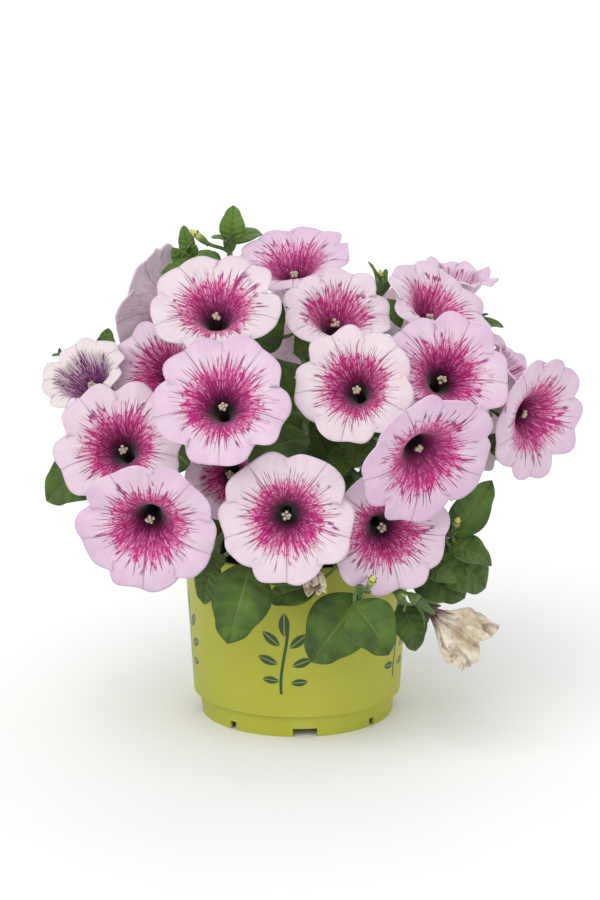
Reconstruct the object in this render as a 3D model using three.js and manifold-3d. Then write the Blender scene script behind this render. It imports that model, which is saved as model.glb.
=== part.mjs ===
// Potted petunia: a bushy plant with funnel-shaped blooms in a round plastic pot.
// Millimetres, +Z up. The origin is the middle of the pot's underside, and the side
// that is seen in the picture faces -Y.
import * as THREE from 'three';
import { mergeVertices } from 'three/addons/utils/BufferGeometryUtils.js';
import Module from 'manifold-3d';

const wasm = await Module();
wasm.setup();

// Driving dimensions of the pot
const POT_HEIGHT = 95;
const POT_WALL_FOOT_RADIUS = 56.7;
const POT_WALL_TOP_RADIUS = 61.4;
const POT_RIM_RADIUS = 62.6;
const POT_RIM_DEPTH = 3.8;
const POT_FOOT_RADIUS = 52.6;
const POT_FOOT_HEIGHT = 11.2;
const POT_THICKNESS = 1.4;
const POT_FLOOR = 5;
const DISH_RADIUS = 14.4;
const POT_SIDES = 32;
const NOTCH_COUNT = 8;
const NOTCH_TURN = 4.7;
const WIDE_NOTCH = 13;
const NARROW_NOTCH = 4;
const NOTCH_HEIGHT = 4.6;
const DRAIN_RADIUS = 4;
const DRAIN_CIRCLE = 38;

// Driving dimensions of the soil
const SOIL_TOP = 84;
const SOIL_GAP = 0.5;
const SOIL_SIDES = 18;
const SOIL_ROUGHNESS = 1.2;
const HOLE_DEPTH = 16;
const HOLE_GAP = 0.85;

// Driving dimensions of the plant
const STEM_RADIUS = 1.9;
const STEM_SIDES = 4;
const STEM_FOOT_RADIUS = 1.6;
const PEDICEL_RADIUS = 1.0;
const PETAL_THICKNESS = 0.8;
const LEAF_THICKNESS = 0.8;
const STALK_HALF_WIDTH = 0.9;
const TUBE_DEPTH = 29;
const CUP_HEIGHT = 4;
const CALYX_GAP = 0.4;
const STEM_RISE = 5;
const STEM_STEP = 28;
const STATIONS_PER_STEP = 8;
const PEDICEL_STEP = 22;
const LEAF_SPACING = 5;
const GOLDEN_ANGLE = 137.5;

// Driving dimensions of a corolla: radius and height of its rings over the throat
const TUBE_BASE_RADIUS = 2.6;
const THROAT_RADIUS = 5;
const THROAT_HEIGHT = -11;
const FUNNEL_RADIUS = 13;
const FUNNEL_HEIGHT = 2.6;
const FOLD_SHARE = 0.7;
const FOLD_HEIGHT = 8;
const FOLD_RELIEF = 0.7;
const RIM_HEIGHT = 9.6;
const RIM_WAVE = 3;
const NOTCH_SHARE = 0.89;
const STIGMA_RADIUS = 1.9;
const STAMEN_FOOT_RADIUS = 0.8;

// Driving dimensions of the leaves that follow the rule
const LEAF_LENGTH = 31;
const LEAF_LENGTH_RANGE = 11;
const LEAF_STALK = 7;
const LEAF_STALK_RANGE = 4;
const LEAF_SHAPE = 0.66;
const LEAF_SHAPE_RANGE = 0.12;
const LEAF_TURNS = [0, 30, -30, 60, -60, 95, -95, 140, -140, 180];
const LATE_TURN = 5;
const LATE_SCALE = 0.75;
const LEAF_OUTWARD = 0.55;
const LEAF_ARCH = 0.14;
const LEAF_FOLD = 0.18;
const DROOP_BELOW = 125;
const DROOP = -0.4;
const LIFT = 0.25;
const DROOP_RANGE = 0.5;

// How far leaves keep from what is not their own shoot
const PETAL_CLEARANCE = 3;
const STEM_CLEARANCE = 4.2;
const LEAF_CLEARANCE = 5;
const FACE_CLEARANCE = 45;

// The dome that the leaves fill: half widths, its middle and its height from there
const DOME_HALF_X = 106;
const DOME_HALF_Y = 108;
const DOME_MIDDLE_Y = 4;
const DOME_MIDDLE_Z = 140;
const DOME_ABOVE = 96;
const DOME_BELOW = 115;

// Edges shorter than this, which the joining leaves, are merged away
const SMALLEST_EDGE = 0.06;

const COLOURS = {
  pot: { color: 0xbccb3a, roughness: 0.45, metalness: 0 },
  soil: { color: 0x2a1c12, roughness: 0.95, metalness: 0 },
  shoot: { color: 0x3f6b2c, roughness: 0.7, metalness: 0 },
  bloom: { color: 0xe6cfe0, roughness: 0.6, metalness: 0 },
  wilted: { color: 0xd8c3a2, roughness: 0.8, metalness: 0 },
};

// Each shoot: the form of its tip, how many leaves follow the leaf rule, and the
// points that its stem passes, from the soil to its tip
const SHOOTS = [
  {
    name: 'top_left', tip: 'leafy', leaves: 2,
    path: [[-6, 2, 84], [-10, 3, 120], [-22, 4, 180], [-35, 8, 225], [-36, 13, 254]],
  },
  {
    name: 'crown_left', tip: 'leafy', leaves: 3,
    path: [[-14, 8, 84], [-20, 12, 120], [-34, 16, 180], [-46, 18, 222], [-58, 14, 247]],
  },
  {
    name: 'crown_right', tip: 'narrow', leaves: 3,
    path: [[6, 2, 84], [14, 2, 120], [26, 0, 180], [38, -2, 215], [44, -4, 231]],
  },
  {
    name: 'right_top', tip: 'small', leaves: 3,
    path: [[14, 4, 84], [30, 6, 120], [55, 6, 160], [80, 2, 190], [97, 0, 217]],
  },
  {
    name: 'left_top', tip: 'small', leaves: 3,
    path: [[-14, 0, 84], [-34, -2, 115], [-70, -2, 150], [-100, 2, 178], [-125, -8, 198]],
  },
  {
    name: 'left_low', tip: 'bare', leaves: 2,
    path: [[-18, -6, 84], [-40, -14, 108], [-70, -26, 118], [-96, -42, 138]],
  },
  {
    name: 'front_mid', tip: 'bare', leaves: 2,
    path: [[-2, -8, 84], [0, -22, 120], [4, -36, 155], [5, -40, 185], [5, -38, 202]],
  },
  {
    name: 'front_low', tip: 'small', leaves: 1,
    path: [[0, -16, 84], [2, -36, 108], [8, -58, 110], [20, -76, 102], [33, -92, 92]],
  },
  {
    name: 'front_low_left', tip: 'small', leaves: 1,
    path: [[-9, -12, 84], [-17, -34, 108], [-26, -58, 113], [-31, -78, 111]],
  },
  {
    name: 'front_low_right', tip: 'small', leaves: 1,
    path: [[9, -14, 84], [19, -34, 106], [34, -58, 104], [46, -74, 92], [55, -90, 85]],
  },
  {
    name: 'right_low', tip: 'small', leaves: 1,
    path: [[17, -8, 84], [36, -20, 108], [58, -42, 114], [72, -56, 112], [79, -64, 114]],
  },
  {
    name: 'right_mid', tip: 'bare', leaves: 3,
    path: [[12, -4, 84], [26, -16, 115], [44, -30, 145], [62, -32, 162], [82, -34, 168]],
  },
  {
    name: 'back_top', tip: 'bare', leaves: 5,
    path: [[-6, 12, 84], [-12, 26, 120], [-20, 34, 160], [-25, 36, 192]],
  },
  {
    name: 'back_left', tip: 'bare', leaves: 5,
    path: [[0, 17, 84], [-4, 38, 112], [-10, 56, 128], [-14, 74, 132]],
  },
  {
    name: 'back_mid', tip: 'bare', leaves: 5,
    path: [[8, 14, 84], [12, 34, 120], [16, 46, 150], [20, 60, 160]],
  },
  {
    name: 'back_right', tip: 'bare', leaves: 5,
    path: [[16, 10, 84], [32, 26, 118], [48, 38, 148], [60, 40, 160]],
  },
  {
    name: 'left_back', tip: 'bare', leaves: 5,
    path: [[-22, 14, 84], [-38, 24, 112], [-56, 34, 128], [-66, 40, 130]],
  },
  {
    name: 'left_side', tip: 'bare', leaves: 4,
    path: [[-24, 2, 84], [-42, 4, 106], [-64, 4, 108], [-84, 2, 102]],
  },
  {
    name: 'right_side', tip: 'bare', leaves: 5,
    path: [[24, 2, 84], [42, 4, 106], [64, 8, 110], [84, 12, 104]],
  },
  {
    name: 'back_low', tip: 'bare', leaves: 5,
    path: [[3, 26, 84], [6, 44, 104], [4, 66, 108], [0, 84, 100]],
  },
  {
    name: 'back_low_left', tip: 'bare', leaves: 5,
    path: [[-14, 22, 84], [-28, 40, 104], [-46, 56, 108], [-62, 70, 100]],
  },
  {
    name: 'back_low_right', tip: 'bare', leaves: 5,
    path: [[16, 20, 84], [30, 38, 104], [46, 52, 108], [62, 64, 102]],
  },
];

// Each bloom: its shoot, the middle of its dark throat, the way it faces (azimuth 0
// is the front, 90 is +X; tilt is up from level), its radius and the turn of its lobes
const BLOOMS = [
  { shoot: 'top_left', at: [-41, -55, 227], azimuth: -3, tilt: 48, radius: 33, turn: 4 },
  { shoot: 'front_mid', at: [-37, -95, 188], azimuth: -3, tilt: 32, radius: 34, turn: 0 },
  { shoot: 'left_top', at: [-89, -70, 160.5], azimuth: -9, tilt: 28, radius: 33, turn: 8 },
  { shoot: 'left_low', at: [-74, -98, 130], azimuth: -6, tilt: -13, radius: 35, turn: -6 },
  { shoot: 'left_top', at: [-108, -35, 188], azimuth: -30, tilt: 45, radius: 23, turn: 0 },
  { shoot: 'crown_left', at: [-67, -36, 193], azimuth: -25, tilt: 20, radius: 28.5, turn: 14 },
  { shoot: 'crown_left', at: [-71, 3, 223], azimuth: -114, tilt: 16, radius: 31, turn: 0 },
  { shoot: 'top_left', at: [-1.5, 0, 241], azimuth: -20, tilt: 64, radius: 31, turn: 20 },
  { shoot: 'crown_right', at: [20, -40, 221], azimuth: 10, tilt: 52, radius: 28, turn: 10 },
  { shoot: 'front_mid', at: [30, -82, 194], azimuth: -10, tilt: 27, radius: 30, turn: -8 },
  { shoot: 'right_mid', at: [74, -68, 197], azimuth: 12, tilt: 28, radius: 32, turn: 6 },
  { shoot: 'right_mid', at: [61, -105, 168], azimuth: 27, tilt: -20, radius: 36, turn: -4 },
  { shoot: 'front_low', at: [-5, -100, 133], azimuth: 0, tilt: 7, radius: 33.5, turn: 0 },
  { shoot: 'front_low_right', at: [44, -78, 121], azimuth: 12, tilt: 2, radius: 32, turn: 12 },
  { shoot: 'crown_right', at: [70, -25, 222], azimuth: 42, tilt: 47, radius: 30, turn: 0 },
  { shoot: 'right_mid', at: [119.5, -38, 172], azimuth: 45, tilt: -7, radius: 33, turn: 0 },
  { shoot: 'right_top', at: [85, 24, 228], azimuth: 60, tilt: 78, radius: 22, turn: 12 },
  { shoot: 'right_top', at: [109, -2, 186], azimuth: 75, tilt: 35, radius: 21, turn: 0 },
  { shoot: 'front_mid', at: [-35, -48, 142], azimuth: -8, tilt: 6, radius: 22, turn: 0 },
  { shoot: 'back_top', at: [-62, 62, 205], azimuth: 212, tilt: 36, radius: 31, turn: 0 },
  { shoot: 'back_mid', at: [6, 92, 190], azimuth: 182, tilt: 22, radius: 33, turn: 8 },
  { shoot: 'back_right', at: [70, 72, 196], azimuth: 148, tilt: 32, radius: 31, turn: 0 },
  { shoot: 'left_back', at: [-96, 42, 150], azimuth: 238, tilt: 12, radius: 32, turn: 6 },
  { shoot: 'back_left', at: [-48, 100, 142], azimuth: 198, tilt: 6, radius: 33, turn: 0 },
  { shoot: 'back_mid', at: [42, 104, 138], azimuth: 165, tilt: 4, radius: 33, turn: -8 },
  { shoot: 'back_right', at: [92, 58, 148], azimuth: 122, tilt: 10, radius: 31, turn: 0 },
  { shoot: 'crown_right', at: [26, 50, 197], azimuth: 172, tilt: 60, radius: 30, turn: 10 },
];

// Each leaf that shows on the front: its shoot, base, tip, upper face and width
const FRONT_LEAVES = [
  { shoot: 'front_low_left', base: [-24, -88, 105], tip: [-35, -99, 66], face: [0.1, -1, 0.35], width: 31 },
  { shoot: 'front_low', base: [33, -82, 86], tip: [7, -86, 52], face: [-0.1, -1, 0.3], width: 33 },
  { shoot: 'front_low', base: [28, -94, 86], tip: [47, -101, 61], face: [0.2, -1, 0.5], width: 28 },
  { shoot: 'front_low_right', base: [54, -68, 79], tip: [62, -70, 53], face: [0.3, -1, 0.2], width: 18 },
  { shoot: 'left_low', base: [-101, -47, 146], tip: [-131, -52, 130], face: [-0.3, -1, 0.7], width: 32 },
  { shoot: 'right_low', base: [71, -52, 102], tip: [100, -50, 82], face: [0.4, -1, 0.6], width: 33 },
  { shoot: 'right_low', base: [78, -62, 107], tip: [101, -66, 99], face: [0.2, -0.7, 1], width: 19 },
  { shoot: 'right_low', base: [66, -70, 99], tip: [82, -76, 92], face: [0.1, -1, 0.6], width: 12 },
  { shoot: 'front_mid', base: [6, -60, 164], tip: [-25, -72, 155], face: [-0.2, -1, 0.8], width: 21 },
  { shoot: 'right_mid', base: [35, -56, 166], tip: [29, -66, 150], face: [0, -1, 0.5], width: 18 },
  { shoot: 'right_mid', base: [27, -48, 156], tip: [17, -58, 138], face: [-0.4, -1, 0.4], width: 15 },
  { shoot: 'right_mid', base: [99, -45, 162], tip: [112, -50, 148], face: [0.5, -1, 0.5], width: 14 },
  { shoot: 'top_left', base: [-35, 14, 255], tip: [-34, 17, 275], face: [0, -1, 0.3], width: 14 },
  { shoot: 'top_left', base: [-37, 10, 254], tip: [-45, 2, 260], face: [-0.2, -0.6, 1], width: 7 },
  { shoot: 'top_left', base: [-35, 19, 254], tip: [-19, 40, 257], face: [0.1, -1, 0.8], width: 9 },
  { shoot: 'top_left', base: [-39, 7, 244], tip: [-58, -7, 246], face: [-0.2, -0.8, 1], width: 13 },
  { shoot: 'crown_left', base: [-57, 14, 249], tip: [-61, 18, 264], face: [-0.2, -1, 0.3], width: 9 },
  { shoot: 'crown_left', base: [-56, 14, 246], tip: [-61, 15, 258], face: [-0.3, -1, 0.6], width: 11 },
  { shoot: 'crown_left', base: [-47, 16, 238], tip: [-52, 27, 250], face: [0.1, -1, 0.8], width: 16 },
  { shoot: 'left_top', base: [-102, -2, 193], tip: [-101, 2, 211], face: [-0.2, -1, 0.2], width: 12 },
  { shoot: 'front_mid', base: [4, -40, 203], tip: [0, -45, 217], face: [0, -1, 0.3], width: 9 },
  { shoot: 'right_low', base: [80, -60, 113], tip: [101, -57, 141], face: [0.2, -1, 0.3], width: 20 },
  { shoot: 'crown_right', base: [46, -4, 227], tip: [55, -12, 214], face: [0.3, -1, 0.5], width: 11 },
  { shoot: 'right_top', base: [94, 2, 212], tip: [111, 8, 211], face: [0.3, -0.6, 1], width: 8 },
  { shoot: 'front_low_left', base: [-37, -84, 108], tip: [-47, -90, 100], face: [-0.3, -1, 0.7], width: 10 },
  { shoot: 'front_low_left', base: [-20, -84, 99], tip: [2, -88, 95], face: [0, -1, 0.8], width: 12 },
  { shoot: 'front_low', base: [11, -78, 92], tip: [-15, -76, 82], face: [0, -1, 0.5], width: 17 },
  { shoot: 'front_low_left', base: [-41, -76, 104], tip: [-48, -76, 80], face: [-0.5, -1, 0.3], width: 15 },
  { shoot: 'crown_left', base: [-58, 8, 243], tip: [-66, 1, 254], face: [-0.3, -1, 0.4], width: 11 },
  { shoot: 'crown_left', base: [-52, 6, 238], tip: [-71, -10, 243], face: [-0.1, -1, 0.5], width: 16 },
  { shoot: 'right_low', base: [60, -59, 99], tip: [88, -60, 79], face: [0.1, -1, 0.4], width: 29 },
  { shoot: 'front_mid', base: [1, -27, 160], tip: [-9, -20, 195], face: [0, -1, 0.2], width: 19 },
  { shoot: 'top_left', base: [-24, -2, 200], tip: [-8, -10, 226], face: [0.1, -1, 0.2], width: 22 },
  { shoot: 'crown_right', base: [18, -7, 140], tip: [5, -14, 166], face: [0, -1, 0.2], width: 19 },
];

// Each bud: its shoot, base and tip
const BUDS = [
  { shoot: 'top_left', base: [-47, 8, 255], tip: [-57, 10, 263] },
  { shoot: 'crown_right', base: [44, -5, 233], tip: [44, -7, 244] },
  { shoot: 'front_low', base: [36, -97, 95], tip: [39, -103, 103] },
  { shoot: 'right_low', base: [81, -67, 118], tip: [83, -71, 125] },
];

// Each withered bloom: its shoot, the base of its tube, its end, the length of its
// tube and how wide its limb spreads
const WILTED = [
  {
    name: 'wilted_right', shoot: 'front_low_right',
    base: [61, -80, 84], end: [92, -88, 61], tube: 16, spread: 12,
  },
  {
    name: 'wilted_front', shoot: 'front_low',
    base: [8, -90, 107], end: [9, -102, 96], tube: 5, spread: 4.5,
  },
];

// Small vector helpers
const vec = (p) => new THREE.Vector3(...p);
const along = (a, b, t) => a.clone().lerp(b, t);
const offset = (p, d, s) => p.clone().addScaledVector(d, s);
const radians = THREE.MathUtils.degToRad;
const UP = new THREE.Vector3(0, 0, 1);

// A seeded generator, so that every build gives the same plant
function seeded(seed) {
  let state = seed;
  return () => {
    state = (state * 1664525 + 1013904223) % 4294967296;
    return state / 4294967296;
  };
}

// A closed mesh from points and faces, turned so that its faces point out
function closedMesh(points, faces) {
  let volume = 0;
  for (const [a, b, c] of faces) {
    volume += points[a].dot(points[b].clone().cross(points[c]));
  }
  const order = volume < 0 ? faces.map(([a, b, c]) => [a, c, b]) : faces;
  const geometry = new THREE.BufferGeometry().setFromPoints(points);
  geometry.setIndex(order.flat());
  return geometry;
}

function toSolid(geometry) {
  const bare = geometry.clone();
  bare.deleteAttribute('normal');
  bare.deleteAttribute('uv');
  const merged = mergeVertices(bare, 1e-4);
  return new wasm.Manifold(new wasm.Mesh({
    numProp: 3,
    vertProperties: merged.attributes.position.array,
    triVerts: new Uint32Array(merged.index.array),
  }));
}

function toGeometry(solid) {
  const mesh = solid.getMesh();
  const geometry = new THREE.BufferGeometry();
  geometry.setAttribute('position', new THREE.BufferAttribute(mesh.vertProperties, 3));
  geometry.setIndex(new THREE.BufferAttribute(mesh.triVerts, 1));
  return geometry;
}

// Joins pieces into one body; scraps and sealed hollows that the joining leaves go
function fuse(geometries) {
  let whole = toSolid(geometries[0]);
  for (const geometry of geometries.slice(1)) {
    whole = whole.add(toSolid(geometry));
  }
  const bodies = whole.asOriginal().simplify(SMALLEST_EDGE).decompose();
  return toGeometry(bodies.reduce((a, b) => (a.volume() > b.volume() ? a : b)));
}

function cut(geometry, tools) {
  let rest = toSolid(geometry);
  for (const tool of tools) {
    rest = rest.subtract(toSolid(tool));
  }
  return toGeometry(rest);
}

function node(name, geometry, look) {
  const flat = geometry.toNonIndexed();
  flat.computeVertexNormals();
  const mesh = new THREE.Mesh(flat, new THREE.MeshStandardMaterial(look));
  mesh.name = name;
  return mesh;
}

// Pot: a thin wall with a rim bead, a stepped foot ring with notches, a floor with
// drain holes and a dish in its middle that stands on the ground with the foot ring
function potProfile() {
  const wallInside = POT_WALL_FOOT_RADIUS - POT_THICKNESS;
  const footInside = POT_FOOT_RADIUS - POT_THICKNESS;
  const floorTop = POT_FLOOR + POT_THICKNESS;
  return [
    [0, 0],
    [DISH_RADIUS, 0],
    [DISH_RADIUS + 2, POT_FLOOR],
    [footInside, POT_FLOOR],
    [footInside, 0],
    [POT_FOOT_RADIUS, 0],
    [POT_FOOT_RADIUS + 0.6, POT_FOOT_HEIGHT],
    [POT_WALL_FOOT_RADIUS, POT_FOOT_HEIGHT + 1],
    [POT_WALL_TOP_RADIUS, POT_HEIGHT - POT_RIM_DEPTH],
    [POT_RIM_RADIUS, POT_HEIGHT - POT_RIM_DEPTH + 0.4],
    [POT_RIM_RADIUS, POT_HEIGHT],
    [POT_WALL_TOP_RADIUS - POT_THICKNESS + 0.4, POT_HEIGHT],
    [wallInside, POT_FOOT_HEIGHT + 2.4],
    [footInside + 0.6, POT_FOOT_HEIGHT + 1.2],
    [footInside, floorTop],
    [DISH_RADIUS + 0.6, floorTop],
    [DISH_RADIUS - 1.4, POT_THICKNESS],
    [0, POT_THICKNESS],
  ].map(([r, z]) => new THREE.Vector2(r, z));
}

function potNotch(turn, width) {
  const tool = new THREE.BoxGeometry(width, 6, NOTCH_HEIGHT + 1);
  tool.translate(0, -POT_FOOT_RADIUS, (NOTCH_HEIGHT - 1) / 2);
  return tool.rotateZ(radians(turn));
}

function drainHole(turn) {
  const tool = new THREE.CylinderGeometry(DRAIN_RADIUS, DRAIN_RADIUS, 6, 8);
  tool.rotateX(Math.PI / 2);
  tool.translate(0, -DRAIN_CIRCLE, POT_FLOOR + POT_THICKNESS / 2);
  return tool.rotateZ(radians(turn));
}

function makePot() {
  const wall = new THREE.LatheGeometry(potProfile(), POT_SIDES);
  wall.rotateX(Math.PI / 2);
  const tools = [];
  for (let k = 0; k < NOTCH_COUNT; k += 1) {
    const turn = NOTCH_TURN + k * 360 / NOTCH_COUNT;
    tools.push(potNotch(turn, k % 2 === 0 ? WIDE_NOTCH : NARROW_NOTCH));
    if (k % 2 === 0) tools.push(drainHole(turn + 180 / NOTCH_COUNT));
  }
  return node('pot', cut(wall, tools), COLOURS.pot);
}

// Soil: a plug that fills the pot, rough on top, with a plain hole for each stem
function makeSoil() {
  const random = seeded(11);
  const bottom = POT_FLOOR + POT_THICKNESS + SOIL_GAP;
  const slope = (POT_WALL_TOP_RADIUS - POT_WALL_FOOT_RADIUS) / (POT_HEIGHT - POT_FOOT_HEIGHT);
  const wall = POT_WALL_FOOT_RADIUS - POT_THICKNESS - SOIL_GAP;
  const rows = [
    [POT_FOOT_RADIUS - POT_THICKNESS - SOIL_GAP, bottom],
    [POT_FOOT_RADIUS - POT_THICKNESS - SOIL_GAP, POT_FOOT_HEIGHT + 1],
    [wall, POT_FOOT_HEIGHT + 5.5],
    [wall + slope * (SOIL_TOP - POT_FOOT_HEIGHT - 5.5), SOIL_TOP - 1.5],
    [46, SOIL_TOP],
    [28, SOIL_TOP],
  ];
  const points = [new THREE.Vector3(0, 0, bottom), new THREE.Vector3(0, 0, SOIL_TOP)];
  rows.forEach(([radius, height], row) => {
    for (let k = 0; k < SOIL_SIDES; k += 1) {
      const angle = 2 * Math.PI * k / SOIL_SIDES;
      const bump = row > 2 ? (random() - 0.5) * 2 * SOIL_ROUGHNESS : 0;
      points.push(new THREE.Vector3(radius * Math.cos(angle), radius * Math.sin(angle), height + bump));
    }
  });
  const at = (row, k) => 2 + row * SOIL_SIDES + k % SOIL_SIDES;
  const faces = [];
  for (let k = 0; k < SOIL_SIDES; k += 1) {
    faces.push([0, at(0, k + 1), at(0, k)]);
    faces.push([1, at(rows.length - 1, k), at(rows.length - 1, k + 1)]);
    for (let row = 0; row + 1 < rows.length; row += 1) {
      faces.push([at(row, k), at(row, k + 1), at(row + 1, k + 1)]);
      faces.push([at(row, k), at(row + 1, k + 1), at(row + 1, k)]);
    }
  }
  const holes = SHOOTS.map(({ path: [[x, y]] }) => {
    const radius = STEM_RADIUS + HOLE_GAP;
    const hole = new THREE.CylinderGeometry(radius, radius, 2 * HOLE_DEPTH, 5);
    return hole.rotateX(Math.PI / 2).translate(x, y, SOIL_TOP);
  });
  return node('soil', cut(closedMesh(points, faces), holes), COLOURS.soil);
}

// The frame of a bloom: n points out of its face, u up along it, r to its right
function bloomFrame({ at, azimuth, tilt }) {
  const a = radians(azimuth);
  const t = radians(tilt);
  return {
    centre: vec(at),
    n: new THREE.Vector3(Math.cos(t) * Math.sin(a), -Math.cos(t) * Math.cos(a), Math.sin(t)),
    u: new THREE.Vector3(-Math.sin(t) * Math.sin(a), Math.sin(t) * Math.cos(a), Math.cos(t)),
    r: new THREE.Vector3(Math.cos(a), Math.sin(a), 0),
  };
}

function inFrame(frame, radius, degrees, height) {
  const angle = radians(degrees);
  const point = offset(frame.centre, frame.n, height);
  point.addScaledVector(frame.r, radius * Math.cos(angle));
  return point.addScaledVector(frame.u, radius * Math.sin(angle));
}

// Side view of a corolla: radius, height over its throat and number of corners of
// each ring, from the tube's base to the folds of the limb
function corollaRows(radius) {
  return [
    [TUBE_BASE_RADIUS, -TUBE_DEPTH, 5],
    [THROAT_RADIUS, THROAT_HEIGHT, 5],
    [FUNNEL_RADIUS, FUNNEL_HEIGHT, 10],
    [radius * FOLD_SHARE, FOLD_HEIGHT, 10],
  ];
}

// Joins two rings of points, where the second has as many corners or twice as many
function band(faces, a, b, count, doubled) {
  for (let k = 0; k < count; k += 1) {
    const next = (k + 1) % count;
    if (doubled) {
      const before = (2 * k - 1 + 2 * count) % (2 * count);
      faces.push([a + k, b + 2 * k, b + before], [a + k, b + 2 * k + 1, b + 2 * k]);
      faces.push([a + k, a + next, b + 2 * k + 1]);
    } else {
      faces.push([a + k, a + next, b + next], [a + k, b + next, b + k]);
    }
  }
}

function fan(faces, centre, ring, count) {
  for (let k = 0; k < count; k += 1) {
    faces.push([centre, ring + (k + 1) % count, ring + k]);
  }
}

// Edge of the five-lobed limb: flat middles, round shoulders, notches between lobes
function limbEdge(bloom, random) {
  const edge = [];
  for (let lobe = 0; lobe < 5; lobe += 1) {
    const wave = (random() - 0.5) * RIM_WAVE;
    edge.push({ radius: bloom.radius * 0.985, height: RIM_HEIGHT - 0.4 });
    edge.push({ radius: bloom.radius, height: RIM_HEIGHT + 0.2 + wave });
    edge.push({ radius: bloom.radius * NOTCH_SHARE, height: RIM_HEIGHT - 1 });
    edge.push({ radius: bloom.radius, height: RIM_HEIGHT + 0.2 - wave });
  }
  return edge;
}

// Corolla: a slim ribbed tube that opens into a wide, shallow limb with folds
function corollaGeometry(bloom, seed) {
  const frame = bloomFrame(bloom);
  const edge = limbEdge(bloom, seeded(seed));
  const points = [];
  const ring = (count, place) => {
    for (let k = 0; k < count; k += 1) {
      const { radius, height } = place(k);
      points.push(inFrame(frame, radius, bloom.turn - 90 + k * 360 / count, height));
    }
    return { first: points.length - count, count };
  };
  const rows = corollaRows(bloom.radius);
  const fold = (row, k) => (row === 3 ? (2 * (k % 2) - 1) * FOLD_RELIEF : 0);
  // Shares of the thickness that the inside of each ring is narrower and higher by
  const thinner = [[0, 0], [1, 0], [0.5, 0.7], [0, 1.1]];
  const outer = rows.map(([radius, height, count], row) =>
    ring(count, (k) => ({ radius, height: height + fold(row, k) })));
  outer.push(ring(20, (k) => edge[k]));
  const inner = rows.map(([radius, height, count], row) => [radius, height, count, row]).slice(1).map(
    ([radius, height, count, row]) => ring(count, (k) => ({
      radius: radius - PETAL_THICKNESS * thinner[row][0],
      height: height + PETAL_THICKNESS * thinner[row][1] + fold(row, k),
    })));
  inner.push(ring(20, (k) => ({ radius: edge[k].radius, height: edge[k].height + PETAL_THICKNESS })));
  const base = points.push(offset(frame.centre, frame.n, -TUBE_DEPTH)) - 1;
  const pit = points.push(offset(frame.centre, frame.n, THROAT_HEIGHT - 1)) - 1;
  const outside = [];
  const inside = [];
  fan(outside, base, outer[0].first, 5);
  fan(inside, pit, inner[0].first, 5);
  const join = (faces, rings) => {
    for (let row = 0; row + 1 < rings.length; row += 1) {
      const [a, b] = [rings[row], rings[row + 1]];
      band(faces, a.first, b.first, a.count, b.count !== a.count);
    }
  };
  join(outside, outer);
  join(inside, inner);
  band(outside, outer[4].first, inner[3].first, 20, false);
  return closedMesh(points, [...outside, ...inside.map(([a, b, c]) => [a, c, b])]);
}

// Stamens and stigma: one slim pillar on the bottom of the throat
function stamenGeometry(bloom) {
  const frame = bloomFrame(bloom);
  const points = [];
  for (const [radius, height] of [[STAMEN_FOOT_RADIUS, THROAT_HEIGHT - 2], [STIGMA_RADIUS, 0]]) {
    for (let k = 0; k < 3; k += 1) {
      points.push(inFrame(frame, radius, bloom.turn + 45 + k * 120, height));
    }
  }
  const faces = [[0, 2, 1], [3, 4, 5]];
  band(faces, 0, 3, 3, false);
  return closedMesh(points, faces);
}

function makeBloom(bloom, index) {
  const name = `bloom_${String(index + 1).padStart(2, '0')}`;
  const whole = fuse([corollaGeometry(bloom, 100 + index), stamenGeometry(bloom)]);
  return node(name, whole, COLOURS.bloom);
}

// Leaf blade: a stalk that widens into a pointed oval, folded a little along its
// midrib and arched; root, base and tip are points, face is its upper side
function leafFrame(leaf) {
  const direction = leaf.tip.clone().sub(leaf.base).normalize();
  const inward = leaf.root.clone().sub(leaf.base).normalize();
  const side = leaf.face.clone().cross(direction).normalize();
  const stalkSide = inward.clone().cross(leaf.face).normalize();
  const bendSide = side.clone().add(stalkSide).normalize();
  return { side, stalkSide, bendSide, inward, face: direction.clone().cross(side).normalize() };
}

const OVAL_ROWS = [0, 0.28, 0.66, 1];

function ovalWidth(t) {
  return Math.sin(Math.PI * t ** 0.75) ** 0.85;
}

function leafPoint(leaf, frame, t, across) {
  const half = Math.max(STALK_HALF_WIDTH, leaf.width / 2 * ovalWidth(Math.min(t, 0.999)));
  const arch = LEAF_ARCH * leaf.base.distanceTo(leaf.tip) * 4 * t * (1 - t);
  const lift = arch + Math.abs(across) * half * LEAF_FOLD;
  const point = offset(along(leaf.base, leaf.tip, t), frame.face, lift);
  return point.addScaledVector(t === 0 ? frame.bendSide : frame.side, across * half);
}

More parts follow.
